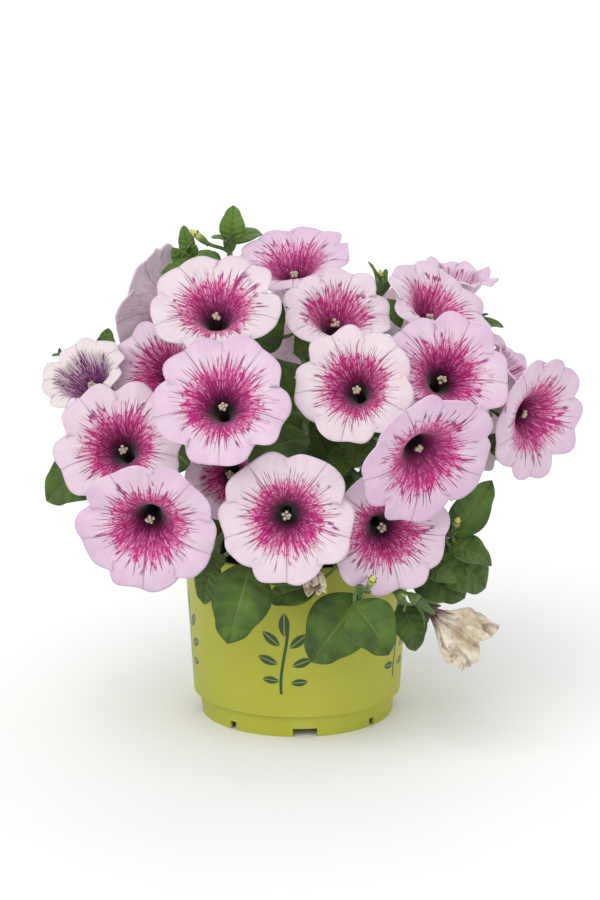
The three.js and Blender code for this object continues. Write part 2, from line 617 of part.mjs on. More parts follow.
function leafGeometry(leaf) {
  const frame = leafFrame(leaf);
  const half = LEAF_THICKNESS / 2;
  const root = offset(leaf.root, frame.inward, 1);
  const rootRow = [-1, 1].map((across) => offset(root, frame.stalkSide, across * STALK_HALF_WIDTH));
  const rows = [leaf.stalked ? rootRow : [root]];
  for (const t of OVAL_ROWS.slice(leaf.stalked ? 0 : 1, -1)) {
    rows.push([-1, 0, 1].map((across) => leafPoint(leaf, frame, t, across)));
  }
  rows.push([leafPoint(leaf, frame, 1, 0)]);
  const points = [];
  const top = rows.map((row) => row.map((p) => points.push(offset(p, frame.face, half)) - 1));
  const bottom = rows.map((row) => row.map((p) => points.push(offset(p, frame.face, -half)) - 1));
  const faces = [];
  const surface = (index, flip) => {
    const add = (a, b, c) => faces.push(flip ? [a, c, b] : [a, b, c]);
    const last = index.length - 1;
    add(index[0][0], index[1][1], index[1][0]);
    add(index[0][index[0].length - 1], index[1][2], index[1][1]);
    if (leaf.stalked) add(index[0][0], index[0][1], index[1][1]);
    for (let row = 1; row + 1 < last; row += 1) {
      const [a, b] = [index[row], index[row + 1]];
      add(a[0], a[1], b[1]);
      add(a[0], b[1], b[0]);
      add(a[1], a[2], b[1]);
      add(a[2], b[2], b[1]);
    }
    add(index[last][0], index[last - 1][0], index[last - 1][1]);
    add(index[last][0], index[last - 1][1], index[last - 1][2]);
  };
  surface(top, false);
  surface(bottom, true);
  const rim = (index) => [
    ...index.map((row) => row[0]),
    ...index.slice(leaf.stalked ? 0 : 1, -1).map((row) => row[row.length - 1]).reverse(),
  ];
  const topRim = rim(top);
  const bottomRim = rim(bottom);
  topRim.forEach((a, k) => {
    const next = (k + 1) % topRim.length;
    faces.push([a, topRim[next], bottomRim[next]], [a, bottomRim[next], bottomRim[k]]);
  });
  return closedMesh(points, faces);
}

// Small leaf of a shoot's tip: a folded lance with a few faces
function tipLeafGeometry(root, tip, face, width) {
  const direction = tip.clone().sub(root).normalize();
  const side = face.clone().cross(direction).normalize();
  const upper = direction.clone().cross(side).normalize();
  const middle = along(root, tip, 0.45);
  const points = [
    root,
    tip,
    offset(offset(middle, side, width / 2), upper, 0.8),
    offset(offset(middle, side, -width / 2), upper, 0.8),
    offset(middle, upper, 0.6),
    offset(middle, upper, -0.8),
  ];
  const faces = [
    [0, 4, 2], [0, 3, 4], [1, 2, 4], [1, 4, 3],
    [0, 2, 5], [0, 5, 3], [1, 5, 2], [1, 3, 5],
  ];
  return closedMesh(points, faces);
}

function tube(curve, radius, sides, steps) {
  const outline = new THREE.Shape();
  for (let k = 0; k < sides; k += 1) {
    const angle = 2 * Math.PI * k / sides;
    const corner = [radius * Math.cos(angle), radius * Math.sin(angle)];
    if (k === 0) outline.moveTo(...corner);
    else outline.lineTo(...corner);
  }
  return new THREE.ExtrudeGeometry(outline, { steps, extrudePath: curve, bevelEnabled: false });
}

// Foot of a stem: upright in its hole in the soil
function stemFoot({ path: [[x, y]] }) {
  const height = HOLE_DEPTH + STEM_RISE;
  const foot = new THREE.CylinderGeometry(STEM_FOOT_RADIUS, STEM_FOOT_RADIUS, height, STEM_SIDES);
  return foot.rotateX(Math.PI / 2).translate(x, y, SOIL_TOP + STEM_RISE + 2 - height / 2);
}

function stemCurve({ path }) {
  const [x, y] = path[0];
  const points = [vec([x, y, SOIL_TOP + STEM_RISE]), ...path.slice(1).map(vec)];
  return new THREE.CatmullRomCurve3(points, false, 'catmullrom', 0.5);
}

function stemSteps(curve) {
  return Math.ceil(curve.getLength() / STEM_STEP);
}

// Points and directions along the straight stretches of a stem
function stemStations(curve) {
  const corners = curve.getSpacedPoints(stemSteps(curve));
  const stations = [];
  for (let k = 0; k + 1 < corners.length; k += 1) {
    const direction = corners[k + 1].clone().sub(corners[k]).normalize();
    for (let part = 0; part < STATIONS_PER_STEP; part += 1) {
      stations.push({ point: along(corners[k], corners[k + 1], part / STATIONS_PER_STEP), direction });
    }
  }
  return stations;
}

function nearestStation(stations, point) {
  let best = stations[0];
  for (const station of stations) {
    if (station.point.distanceTo(point) < best.point.distanceTo(point)) best = station;
  }
  return best;
}

// Flower stalk: leaves the stem along it and ends along the bloom's axis
function pedicelCurve(stations, end, axis) {
  const start = nearestStation(stations.slice(STATIONS_PER_STEP), offset(end, axis, -14));
  const reach = start.point.distanceTo(end) * 0.35;
  return new THREE.CubicBezierCurve3(
    start.point,
    offset(start.point, start.direction, reach),
    offset(end, axis, -reach),
    end,
  );
}

// Calyx: a cup under the corolla's tube that splits into five pointed sepals
function calyxGeometry(frame, turn, scale) {
  const top = -TUBE_DEPTH - CALYX_GAP;
  const points = [inFrame(frame, 0, 0, top - CUP_HEIGHT), inFrame(frame, 0, 0, top)];
  const ring = (radius, shift, height) => {
    for (let k = 0; k < 5; k += 1) {
      points.push(inFrame(frame, radius * scale, turn + k * 72 + shift, height));
    }
    return points.length - 5;
  };
  const lower = ring(1.4, 0, top - CUP_HEIGHT);
  const sepal = ring(9, 0, top + 12.5 * scale);
  const valley = ring(3.4, 36, top - 1);
  const inside = ring(3.3, 0, top);
  const faces = [];
  fan(faces, 0, lower, 5);
  for (let k = 0; k < 5; k += 1) {
    const next = (k + 1) % 5;
    const before = (k + 4) % 5;
    faces.push([lower + k, lower + next, valley + k]);
    faces.push([lower + k, valley + k, sepal + k], [lower + k, sepal + k, valley + before]);
    faces.push([sepal + k, valley + k, inside + k], [sepal + k, inside + k, valley + before]);
    faces.push([inside + k, valley + k, inside + next], [1, inside + k, inside + next]);
  }
  return closedMesh(points, faces);
}

// Closed bud: a slim spindle
function budGeometry({ base, tip }) {
  const length = base.distanceTo(tip);
  const profile = [[0, 0], [1.3, length * 0.15], [2.1, length * 0.6], [0, length]];
  const bud = new THREE.LatheGeometry(profile.map(([r, z]) => new THREE.Vector2(r, z)), 5);
  const axis = tip.clone().sub(base).normalize();
  bud.applyQuaternion(new THREE.Quaternion().setFromUnitVectors(new THREE.Vector3(0, 1, 0), axis));
  return bud.translate(base.x, base.y, base.z);
}

// Young leaves around a shoot's tip; each opens wider and is longer than the one before
const TIP_OPENING = 0.08;
const TIP_SHORTEST = 0.75;
const TIP_GROWTH = 0.05;
const TIP_FORMS = {
  bare: { count: 0, length: 0, width: 0, spread: 0 },
  small: { count: 2, length: 11, width: 5, spread: 0.35 },
  leafy: { count: 3, length: 14, width: 7, spread: 0.35 },
  narrow: { count: 7, length: 20, width: 5, spread: 0.45 },
};

function tipLeaves(stations, form) {
  const { count, length, width, spread } = TIP_FORMS[form];
  const { point, direction } = stations[stations.length - 1];
  const side = direction.clone().cross(new THREE.Vector3(0, 1, 0)).normalize();
  const other = direction.clone().cross(side);
  const leaves = [];
  for (let k = 0; k < count; k += 1) {
    const angle = radians(k * GOLDEN_ANGLE);
    const out = side.clone().multiplyScalar(Math.cos(angle)).addScaledVector(other, Math.sin(angle));
    const way = direction.clone().addScaledVector(out, spread + TIP_OPENING * k).normalize();
    const reach = length * (TIP_SHORTEST + TIP_GROWTH * k);
    leaves.push(tipLeafGeometry(offset(point, direction, -1.5), offset(point, way, reach), out, width));
  }
  return leaves;
}

// Leaf placing. Leaves follow a golden-angle spiral up each stem. One that would come
// near a petal, another shoot or the pot turns aside, or isn't grown.
function segmentDistance(p, a, b) {
  const edge = b.clone().sub(a);
  const t = THREE.MathUtils.clamp(p.clone().sub(a).dot(edge) / edge.lengthSq(), 0, 1);
  return p.distanceTo(offset(a, edge, t));
}

function nearBloom(point, bloom, frame) {
  const from = point.clone().sub(frame.centre);
  const height = from.dot(frame.n);
  const radius = Math.sqrt(Math.max(0, from.lengthSq() - height * height));
  if (height > 0 && height < FACE_CLEARANCE && radius < bloom.radius) return true;
  const spot = new THREE.Vector3(radius, height, 0);
  const rows = corollaRows(bloom.radius).map(([r, h]) => new THREE.Vector3(r, h, 0));
  rows.push(new THREE.Vector3(bloom.radius, RIM_HEIGHT, 0));
  for (let k = 0; k + 1 < rows.length; k += 1) {
    const clearance = k === 0 ? 2 * PETAL_CLEARANCE : PETAL_CLEARANCE;
    if (segmentDistance(spot, rows[k], rows[k + 1]) < clearance) return true;
  }
  return false;
}

function nearPot(point) {
  const radius = Math.hypot(point.x, point.y);
  return point.z < POT_HEIGHT + 3 && radius < POT_RIM_RADIUS + 2.5;
}

function outsideDome(point) {
  const x = point.x / DOME_HALF_X;
  const y = (point.y - DOME_MIDDLE_Y) / DOME_HALF_Y;
  const z = (point.z - DOME_MIDDLE_Z) / (point.z > DOME_MIDDLE_Z ? DOME_ABOVE : DOME_BELOW);
  return x * x + y * y + z * z > 1;
}

function leafSamples(leaf) {
  const frame = leafFrame(leaf);
  const samples = [];
  for (let row = 0; row <= 7; row += 1) {
    for (let column = -2; column <= 2; column += 1) {
      samples.push(leafPoint(leaf, frame, row / 7, column / 2));
    }
  }
  return samples;
}

function fits(leaf, shoot, plant) {
  for (const point of leafSamples(leaf)) {
    if (nearPot(point) || outsideDome(point)) return false;
    for (const { bloom, frame } of plant.blooms) {
      if (nearBloom(point, bloom, frame)) return false;
    }
    for (const stalk of plant.stalks) {
      const near = stalk.shoot === shoot.name ? STEM_CLEARANCE * 0.6 : STEM_CLEARANCE;
      for (let k = 0; k + 1 < stalk.points.length; k += 1) {
        if (segmentDistance(point, stalk.points[k], stalk.points[k + 1]) < near) return false;
      }
    }
    for (const other of plant.leafPoints) {
      const near = other.shoot === shoot.name ? LEAF_CLEARANCE * 0.5 : LEAF_CLEARANCE;
      if (other.point.distanceTo(point) < near) return false;
    }
  }
  return true;
}

// One try at a leaf from a station of the stem, turned and tilted by its attempt
function leafTry(station, turn, attempt, random) {
  const side = station.direction.clone().cross(new THREE.Vector3(1, 0.2, 0.1)).normalize();
  const other = station.direction.clone().cross(side);
  const angle = radians(turn + LEAF_TURNS[attempt]);
  const out = side.multiplyScalar(Math.cos(angle)).addScaledVector(other, Math.sin(angle));
  const away = new THREE.Vector3(station.point.x, station.point.y, 0).normalize();
  const droop = station.point.z < DROOP_BELOW ? DROOP : LIFT;
  out.addScaledVector(away, LEAF_OUTWARD);
  const way = out.addScaledVector(UP, droop + (random() - 0.5) * DROOP_RANGE).normalize();
  const scale = attempt < LATE_TURN ? 1 : LATE_SCALE;
  const length = (LEAF_LENGTH + LEAF_LENGTH_RANGE * random()) * scale;
  const base = offset(station.point, way, LEAF_STALK + LEAF_STALK_RANGE * random());
  return {
    root: station.point,
    base,
    tip: offset(base, way, length),
    face: UP.clone().addScaledVector(away, 0.7),
    width: length * (LEAF_SHAPE + LEAF_SHAPE_RANGE * random()),
    stalked: false,
  };
}

function growLeaves(shoot, plant, seed) {
  const random = seeded(seed);
  const { stations } = plant.stems[shoot.name];
  const leaves = [];
  let travelled = 0;
  let turn = random() * 360;
  for (let k = STATIONS_PER_STEP; k < stations.length && leaves.length < shoot.leaves; k += 1) {
    travelled += stations[k].point.distanceTo(stations[k - 1].point);
    if (travelled < LEAF_SPACING) continue;
    travelled = 0;
    turn += GOLDEN_ANGLE;
    for (let attempt = 0; attempt < LEAF_TURNS.length; attempt += 1) {
      const leaf = leafTry(stations[k], turn, attempt, random);
      if (fits(leaf, shoot, plant)) {
        leaves.push(leaf);
        plant.leafPoints.push(...leafSamples(leaf).map((point) => ({ shoot: shoot.name, point })));
        break;
      }
    }
  }
  return leaves;
}

// The whole plant's layout: stems, stalks of blooms, leaves
function layOut() {
  const plant = { stems: {}, blooms: [], stalks: [], leafPoints: [], leaves: {} };
  for (const shoot of SHOOTS) {
    const curve = stemCurve(shoot);
    const stations = stemStations(curve);
    plant.stems[shoot.name] = { curve, stations, pedicels: [] };
    plant.leaves[shoot.name] = [];
    plant.stalks.push({ shoot: shoot.name, points: stations.map(({ point }) => point) });
  }
  const addPedicel = (shoot, end, axis) => {
    const curve = pedicelCurve(plant.stems[shoot].stations, end, axis);
    plant.stems[shoot].pedicels.push(curve);
    plant.stalks.push({ shoot, points: curve.getPoints(10) });
  };
  for (const bloom of BLOOMS) {
    const frame = bloomFrame(bloom);
    plant.blooms.push({ bloom, frame });
    addPedicel(bloom.shoot, offset(frame.centre, frame.n, -TUBE_DEPTH - 2.5), frame.n);
  }
  for (const { shoot, base, tip } of BUDS) {
    addPedicel(shoot, along(vec(base), vec(tip), 0.2), vec(tip).sub(vec(base)).normalize());
  }
  for (const { shoot, base, end } of WILTED) {
    const axis = vec(end).sub(vec(base)).normalize();
    addPedicel(shoot, offset(vec(base), axis, -2), axis);
  }
  for (const { shoot, base, tip, face, width } of FRONT_LEAVES) {
    const root = nearestStation(plant.stems[shoot].stations, vec(base)).point;
    const leaf = { root, base: vec(base), tip: vec(tip), face: vec(face), width, stalked: true };
    plant.leaves[shoot].push(leaf);
    plant.leafPoints.push(...leafSamples(leaf).map((point) => ({ shoot, point })));
  }
  SHOOTS.forEach((shoot, index) => {
    plant.leaves[shoot.name].push(...growLeaves(shoot, plant, 500 + index * 7));
  });
  return plant;
}

function makeShoot(shoot, plant) {
  const { curve, stations, pedicels } = plant.stems[shoot.name];
  const pieces = [stemFoot(shoot), tube(curve, STEM_RADIUS, STEM_SIDES, stemSteps(curve))];
  for (const pedicel of pedicels) {
    pieces.push(tube(pedicel, PEDICEL_RADIUS, STEM_SIDES, Math.ceil(pedicel.getLength() / PEDICEL_STEP)));
  }
  for (const bloom of BLOOMS.filter((each) => each.shoot === shoot.name)) {
    pieces.push(calyxGeometry(bloomFrame(bloom), bloom.turn, 1));
  }
  for (const wilted of WILTED.filter((each) => each.shoot === shoot.name)) {
    pieces.push(calyxGeometry(wiltedFrame(wilted), 20, wilted.spread / 16 + 0.25));
  }
  for (const bud of BUDS.filter((each) => each.shoot === shoot.name)) {
    pieces.push(budGeometry({ base: vec(bud.base), tip: vec(bud.tip) }));
  }
  pieces.push(...tipLeaves(stations, shoot.tip));
  pieces.push(...plant.leaves[shoot.name].map(leafGeometry));
  return node(`shoot_${shoot.name}`, fuse(pieces), COLOURS.shoot);
}

// Withered bloom: a shrunken tube that ends in a crumpled, folded limb
function wiltedFrame({ base, end }) {
  const n = vec(end).sub(vec(base)).normalize();
  const r = n.clone().cross(UP).normalize();
  const u = r.clone().cross(n).normalize();
  return { centre: offset(vec(base), n, TUBE_DEPTH + CALYX_GAP), n, u, r };
}

function makeWilted(wilted, index) {
  const random = seeded(900 + index);
  const frame = wiltedFrame(wilted);
  const length = vec(wilted.base).distanceTo(vec(wilted.end));
  const start = -TUBE_DEPTH;
  const rows = [
    [wilted.spread * 0.18, start],
    [wilted.spread * 0.22, start + wilted.tube * 0.6],
    [wilted.spread * 0.42, start + wilted.tube],
    [wilted.spread * 0.85, start + (wilted.tube + length) / 2],
    [wilted.spread * 0.9, start + length],
  ];
  const count = 9;
  const points = [inFrame(frame, 0, 0, start), inFrame(frame, 0, 0, start + length * 0.8)];
  rows.forEach(([radius, height], row) => {
    for (let k = 0; k < count; k += 1) {
      const pleat = row > 1 ? (k % 2 === 0 ? 1.12 : 0.68) + (random() - 0.5) * 0.3 : 1;
      const ragged = row > 2 ? (random() - 0.5) * wilted.spread * 0.5 : 0;
      points.push(inFrame(frame, radius * pleat, k * 360 / count, height + ragged));
    }
  });
  const faces = [];
  for (let k = 0; k < count; k += 1) {
    const next = (k + 1) % count;
    faces.push([0, 2 + next, 2 + k]);
    faces.push([1, 2 + 4 * count + k, 2 + 4 * count + next]);
  }
  for (let row = 0; row < 4; row += 1) {
    band(faces, 2 + row * count, 2 + (row + 1) * count, count, false);
  }
  return node(wilted.name, closedMesh(points, faces), COLOURS.wilted);
}

const petunia = new THREE.Group();
const plant = layOut();
petunia.add(makePot());
petunia.add(makeSoil());
SHOOTS.forEach((shoot) => petunia.add(makeShoot(shoot, plant)));
BLOOMS.forEach((bloom, index) => petunia.add(makeBloom(bloom, index)));
WILTED.forEach((wilted, index) => petunia.add(makeWilted(wilted, index)));

export default petunia;
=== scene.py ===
# %% [markdown]
# # A potted petunia
# The CAD model of this plant has every stem, leaf and bloom in its place, but with few
# faces. This lesson gives each of them its fine form and its finish: waved petals with a
# net of veins, soft leaves with sunken veins, hairy stems, crumbly soil and a moulded
# pot. The first cells load the CAD model as a fixed frame.

# %% Load the frame
import math
import bpy
import numpy as np
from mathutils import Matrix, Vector


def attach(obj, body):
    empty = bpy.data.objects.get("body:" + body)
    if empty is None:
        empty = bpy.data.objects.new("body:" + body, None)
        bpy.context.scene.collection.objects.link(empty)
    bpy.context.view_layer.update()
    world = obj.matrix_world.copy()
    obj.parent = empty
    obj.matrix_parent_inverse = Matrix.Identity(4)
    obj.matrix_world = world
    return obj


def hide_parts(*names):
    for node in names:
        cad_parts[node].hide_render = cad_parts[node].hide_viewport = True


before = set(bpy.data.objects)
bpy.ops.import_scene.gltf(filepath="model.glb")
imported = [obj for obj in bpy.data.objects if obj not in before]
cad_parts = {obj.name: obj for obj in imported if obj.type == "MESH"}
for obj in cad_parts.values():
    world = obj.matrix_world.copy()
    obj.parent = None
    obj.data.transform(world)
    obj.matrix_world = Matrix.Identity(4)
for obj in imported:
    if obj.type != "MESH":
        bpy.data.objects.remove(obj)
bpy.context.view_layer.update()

# %% [markdown]
# The camera looks slightly down on the plant with a long lens, as for a catalogue
# picture. Its numbers came from the ellipses of the pot's rim and foot, whose size is
# taken as that of a common trade pot, so a point of the model falls where it does in
# the picture.

# %% Camera
CAMERA_TARGET = (0.0016, 0, 0.1447)
CAMERA_DISTANCE = 1.3
CAMERA_ELEVATION = 12.5
LENS_MM = 96.3


def make_camera():
    camera = bpy.data.objects.new("camera", bpy.data.cameras.new("camera"))
    bpy.context.scene.collection.objects.link(camera)
    slope = math.radians(CAMERA_ELEVATION)
    camera.data.lens = LENS_MM
    camera.location = (
        CAMERA_TARGET[0],
        -CAMERA_DISTANCE * math.cos(slope),
        CAMERA_TARGET[2] + CAMERA_DISTANCE * math.sin(slope),
    )
    camera.rotation_euler = (math.pi / 2 - slope, 0, 0)
    bpy.context.scene.camera = camera
    return camera


print("camera stands at", [round(c, 3) for c in make_camera().location])

# %% [markdown]
# The studio is a pale floor and white surroundings. A wide soft light from above, in
# front and a little left shapes the blooms and the pot, a weaker one from behind lifts
# the rims, and a faint one from the right keeps the shadows open. They are sun lamps of
# a large angle, because area lamps would leave the far floor grey. The plain colour
# transform keeps the colours as set.

# %% Studio
FLOOR_SIZE = 200
FLOOR_COLOUR = (0.96, 0.96, 0.96, 1)
WORLD_STRENGTH = 0.72
LIGHTS = {
    "key": {"from": (-0.4, -0.9, 0.95), "angle": 55, "strength": 1.35},
    "fill": {"from": (0.9, -0.8, 0.4), "angle": 60, "strength": 0.15},
    "rim": {"from": (0.2, 0.9, 0.9), "angle": 50, "strength": 0.4},
}


def make_studio():
    world = bpy.data.worlds.new("studio")
    world.use_nodes = True
    background = world.node_tree.nodes["Background"]
    background.inputs["Color"].default_value = (1, 1, 1, 1)
    background.inputs["Strength"].default_value = WORLD_STRENGTH
    bpy.context.scene.world = world
    bpy.context.scene.view_settings.view_transform = "Standard"
    for name, light in LIGHTS.items():
        data = bpy.data.lights.new(name, "SUN")
        data.energy = light["strength"]
        data.angle = math.radians(light["angle"])
        lamp = bpy.data.objects.new(name, data)
        lamp.rotation_euler = Vector(light["from"]).to_track_quat("Z", "Y").to_euler()
        bpy.context.scene.collection.objects.link(lamp)


def make_floor():
    half = FLOOR_SIZE / 2
    mesh = bpy.data.meshes.new("floor")
    corners = [(-half, -half, 0), (half, -half, 0), (half, half, 0), (-half, half, 0)]
    mesh.from_pydata(corners, [], [(0, 1, 2, 3)])
    floor = bpy.data.objects.new("floor", mesh)
    bpy.context.scene.collection.objects.link(floor)
    look = bpy.data.materials.new("floor")
    look.use_nodes = True
    shader = look.node_tree.nodes["Principled BSDF"]
    shader.inputs["Base Color"].default_value = FLOOR_COLOUR
    shader.inputs["Roughness"].default_value = 0.9
    mesh.materials.append(look)


make_studio()
make_floor()
print(len(LIGHTS), "lights and a floor")

# %% [markdown]
# The layout of the plant is the same as in the CAD model, in millimetres: where each
# shoot runs, where each bloom's dark throat is and which way it faces, and the leaves
# that show on the front. They could be read from the CAD meshes, but a list with names
# is easier to understand and to change.

# %% Layout of shoots
SHOOTS = {
    "top_left": ("leafy", 2, [(-6, 2, 84), (-10, 3, 120), (-22, 4, 180), (-35, 8, 225), (-36, 13, 254)]),
    "crown_left": (
        "leafy", 3, [(-14, 8, 84), (-20, 12, 120), (-34, 16, 180), (-46, 18, 222), (-58, 14, 247)],
    ),
    "crown_right": ("narrow", 3, [(6, 2, 84), (14, 2, 120), (26, 0, 180), (38, -2, 215), (44, -4, 231)]),
    "right_top": ("small", 3, [(14, 4, 84), (30, 6, 120), (55, 6, 160), (80, 2, 190), (97, 0, 217)]),
    "left_top": (
        "small", 3, [(-14, 0, 84), (-34, -2, 115), (-70, -2, 150), (-100, 2, 178), (-125, -8, 198)],
    ),
    "left_low": ("bare", 2, [(-18, -6, 84), (-40, -14, 108), (-70, -26, 118), (-96, -42, 138)]),
    "front_mid": ("bare", 2, [(-2, -8, 84), (0, -22, 120), (4, -36, 155), (5, -40, 185), (5, -38, 202)]),
    "front_low": ("small", 1, [(0, -16, 84), (2, -36, 108), (8, -58, 110), (20, -76, 102), (33, -92, 92)]),
    "front_low_left": ("small", 1, [(-9, -12, 84), (-17, -34, 108), (-26, -58, 113), (-31, -78, 111)]),
    "front_low_right": (
        "small", 1, [(9, -14, 84), (19, -34, 106), (34, -58, 104), (46, -74, 92), (55, -90, 85)],
    ),
    "right_low": (
        "small", 1, [(17, -8, 84), (36, -20, 108), (58, -42, 114), (72, -56, 112), (79, -64, 114)],
    ),
    "right_mid": (
        "bare", 3, [(12, -4, 84), (26, -16, 115), (44, -30, 145), (62, -32, 162), (82, -34, 168)],
    ),
    "back_top": ("bare", 5, [(-6, 12, 84), (-12, 26, 120), (-20, 34, 160), (-25, 36, 192)]),
    "back_left": ("bare", 5, [(0, 17, 84), (-4, 38, 112), (-10, 56, 128), (-14, 74, 132)]),
    "back_mid": ("bare", 5, [(8, 14, 84), (12, 34, 120), (16, 46, 150), (20, 60, 160)]),
    "back_right": ("bare", 5, [(16, 10, 84), (32, 26, 118), (48, 38, 148), (60, 40, 160)]),
    "left_back": ("bare", 5, [(-22, 14, 84), (-38, 24, 112), (-56, 34, 128), (-66, 40, 130)]),
    "left_side": ("bare", 4, [(-24, 2, 84), (-42, 4, 106), (-64, 4, 108), (-84, 2, 102)]),
    "right_side": ("bare", 5, [(24, 2, 84), (42, 4, 106), (64, 8, 110), (84, 12, 104)]),
    "back_low": ("bare", 5, [(3, 26, 84), (6, 44, 104), (4, 66, 108), (0, 84, 100)]),
    "back_low_left": ("bare", 5, [(-14, 22, 84), (-28, 40, 104), (-46, 56, 108), (-62, 70, 100)]),
    "back_low_right": ("bare", 5, [(16, 20, 84), (30, 38, 104), (46, 52, 108), (62, 64, 102)]),
}
print(len(SHOOTS), "shoots")

# %% [markdown]
# Each bloom has its shoot, the middle of its throat, its azimuth, its tilt, its radius
# and the turn of its lobes, and last how pink it is: blooms open nearly white in the
# shade and turn pinker with light and age.

# %% Layout of blooms
BLOOMS = [
    ("top_left", (-41, -55, 227), -3, 48, 33, 4, 0.25),
    ("front_mid", (-37, -95, 188), -3, 32, 34, 0, 0.75),
    ("left_top", (-89, -70, 160.5), -9, 28, 33, 8, 0.45),
    ("left_low", (-74, -98, 130), -6, -13, 35, -6, 0.8),
    ("left_top", (-108, -35, 188), -30, 45, 23, 0, 0.0),
    ("crown_left", (-67, -36, 193), -25, 20, 28.5, 14, 0.8),
    ("crown_left", (-71, 3, 223), -114, 16, 31, 0, 0.7),
    ("top_left", (-1.5, 0, 241), -20, 64, 31, 20, 0.9),
    ("crown_right", (20, -40, 221), 10, 52, 28, 10, 0.35),
    ("front_mid", (30, -82, 194), -10, 27, 30, -8, 0.2),
    ("right_mid", (74, -68, 197), 12, 28, 32, 6, 0.75),
    ("right_mid", (61, -105, 168), 27, -20, 36, -4, 0.95),
    ("front_low", (-5, -100, 133), 0, 7, 33.5, 0, 0.3),
    ("front_low_right", (44, -78, 121), 12, 2, 32, 12, 0.6),
    ("crown_right", (70, -25, 222), 42, 47, 30, 0, 0.6),
    ("right_mid", (119.5, -38, 172), 45, -7, 33, 0, 0.75),
    ("right_top", (85, 24, 228), 60, 78, 22, 12, 0.9),
    ("right_top", (109, -2, 186), 75, 35, 21, 0, 1.0),
    ("front_mid", (-35, -48, 142), -8, 6, 22, 0, 0.7),
    ("back_top", (-62, 62, 205), 212, 36, 31, 0, 0.5),
    ("back_mid", (6, 92, 190), 182, 22, 33, 8, 0.7),
    ("back_right", (70, 72, 196), 148, 32, 31, 0, 0.3),
    ("left_back", (-96, 42, 150), 238, 12, 32, 6, 0.6),
    ("back_left", (-48, 100, 142), 198, 6, 33, 0, 0.8),
    ("back_mid", (42, 104, 138), 165, 4, 33, -8, 0.4),
    ("back_right", (92, 58, 148), 122, 10, 31, 0, 0.7),
    ("crown_right", (26, 50, 197), 172, 60, 30, 10, 0.6),
]
print(len(BLOOMS), "blooms")

# %% [markdown]
# The leaves of the front are listed: shoot, base, tip, the way the upper face looks, and
# width. Buds and withered blooms follow in the same way.

# %% Layout of front leaves, buds and withered blooms
FRONT_LEAVES = [
    ("front_low_left", (-24, -88, 105), (-35, -99, 66), (0.1, -1, 0.35), 31),
    ("front_low", (33, -82, 86), (7, -86, 52), (-0.1, -1, 0.3), 33),
    ("front_low", (28, -94, 86), (47, -101, 61), (0.2, -1, 0.5), 28),
    ("front_low_right", (54, -68, 79), (62, -70, 53), (0.3, -1, 0.2), 18),
    ("left_low", (-101, -47, 146), (-131, -52, 130), (-0.3, -1, 0.7), 32),
    ("right_low", (71, -52, 102), (100, -50, 82), (0.4, -1, 0.6), 33),
    ("right_low", (78, -62, 107), (101, -66, 99), (0.2, -0.7, 1), 19),
    ("right_low", (66, -70, 99), (82, -76, 92), (0.1, -1, 0.6), 12),
    ("front_mid", (6, -60, 164), (-25, -72, 155), (-0.2, -1, 0.8), 21),
    ("right_mid", (35, -56, 166), (29, -66, 150), (0, -1, 0.5), 18),
    ("right_mid", (27, -48, 156), (17, -58, 138), (-0.4, -1, 0.4), 15),
    ("right_mid", (99, -45, 162), (112, -50, 148), (0.5, -1, 0.5), 14),
    ("top_left", (-35, 14, 255), (-34, 17, 275), (0, -1, 0.3), 14),
    ("top_left", (-37, 10, 254), (-45, 2, 260), (-0.2, -0.6, 1), 7),
    ("top_left", (-35, 19, 254), (-19, 40, 257), (0.1, -1, 0.8), 9),
    ("top_left", (-39, 7, 244), (-58, -7, 246), (-0.2, -0.8, 1), 13),
    ("crown_left", (-57, 14, 249), (-61, 18, 264), (-0.2, -1, 0.3), 9),
    ("crown_left", (-56, 14, 246), (-61, 15, 258), (-0.3, -1, 0.6), 11),
    ("crown_left", (-47, 16, 238), (-52, 27, 250), (0.1, -1, 0.8), 16),
    ("left_top", (-102, -2, 193), (-101, 2, 211), (-0.2, -1, 0.2), 12),
    ("front_mid", (4, -40, 203), (0, -45, 217), (0, -1, 0.3), 9),
    ("right_low", (80, -60, 113), (101, -57, 141), (0.2, -1, 0.3), 20),
    ("crown_right", (46, -4, 227), (55, -12, 214), (0.3, -1, 0.5), 11),
    ("right_top", (94, 2, 212), (111, 8, 211), (0.3, -0.6, 1), 8),
    ("front_low_left", (-37, -84, 108), (-47, -90, 100), (-0.3, -1, 0.7), 10),
    ("front_low_left", (-20, -84, 99), (2, -88, 95), (0, -1, 0.8), 12),
    ("front_low", (11, -78, 92), (-15, -76, 82), (0, -1, 0.5), 17),
    ("front_low_left", (-41, -76, 104), (-48, -76, 80), (-0.5, -1, 0.3), 15),
    ("crown_left", (-58, 8, 243), (-66, 1, 254), (-0.3, -1, 0.4), 11),
    ("crown_left", (-52, 6, 238), (-71, -10, 243), (-0.1, -1, 0.5), 16),
    ("right_low", (60, -59, 99), (88, -60, 79), (0.1, -1, 0.4), 29),
    ("front_mid", (1, -27, 160), (-9, -20, 195), (0, -1, 0.2), 19),
    ("top_left", (-24, -2, 200), (-8, -10, 226), (0.1, -1, 0.2), 22),
    ("crown_right", (18, -7, 140), (5, -14, 166), (0, -1, 0.2), 19),
]
BUDS = [
    ("top_left", (-47, 8, 255), (-57, 10, 263)),
    ("crown_right", (44, -5, 233), (44, -7, 244)),
    ("front_low", (36, -97, 95), (39, -103, 103)),
    ("right_low", (81, -67, 118), (83, -71, 125)),
]
WILTED = {
    "wilted_right": ("front_low_right", (61, -80, 84), (92, -88, 61), 16, 12),
    "wilted_front": ("front_low", (8, -90, 107), (9, -102, 96), 5, 4.5),
}
print(len(FRONT_LEAVES), "front leaves,", len(BUDS), "buds,", len(WILTED), "withered blooms")

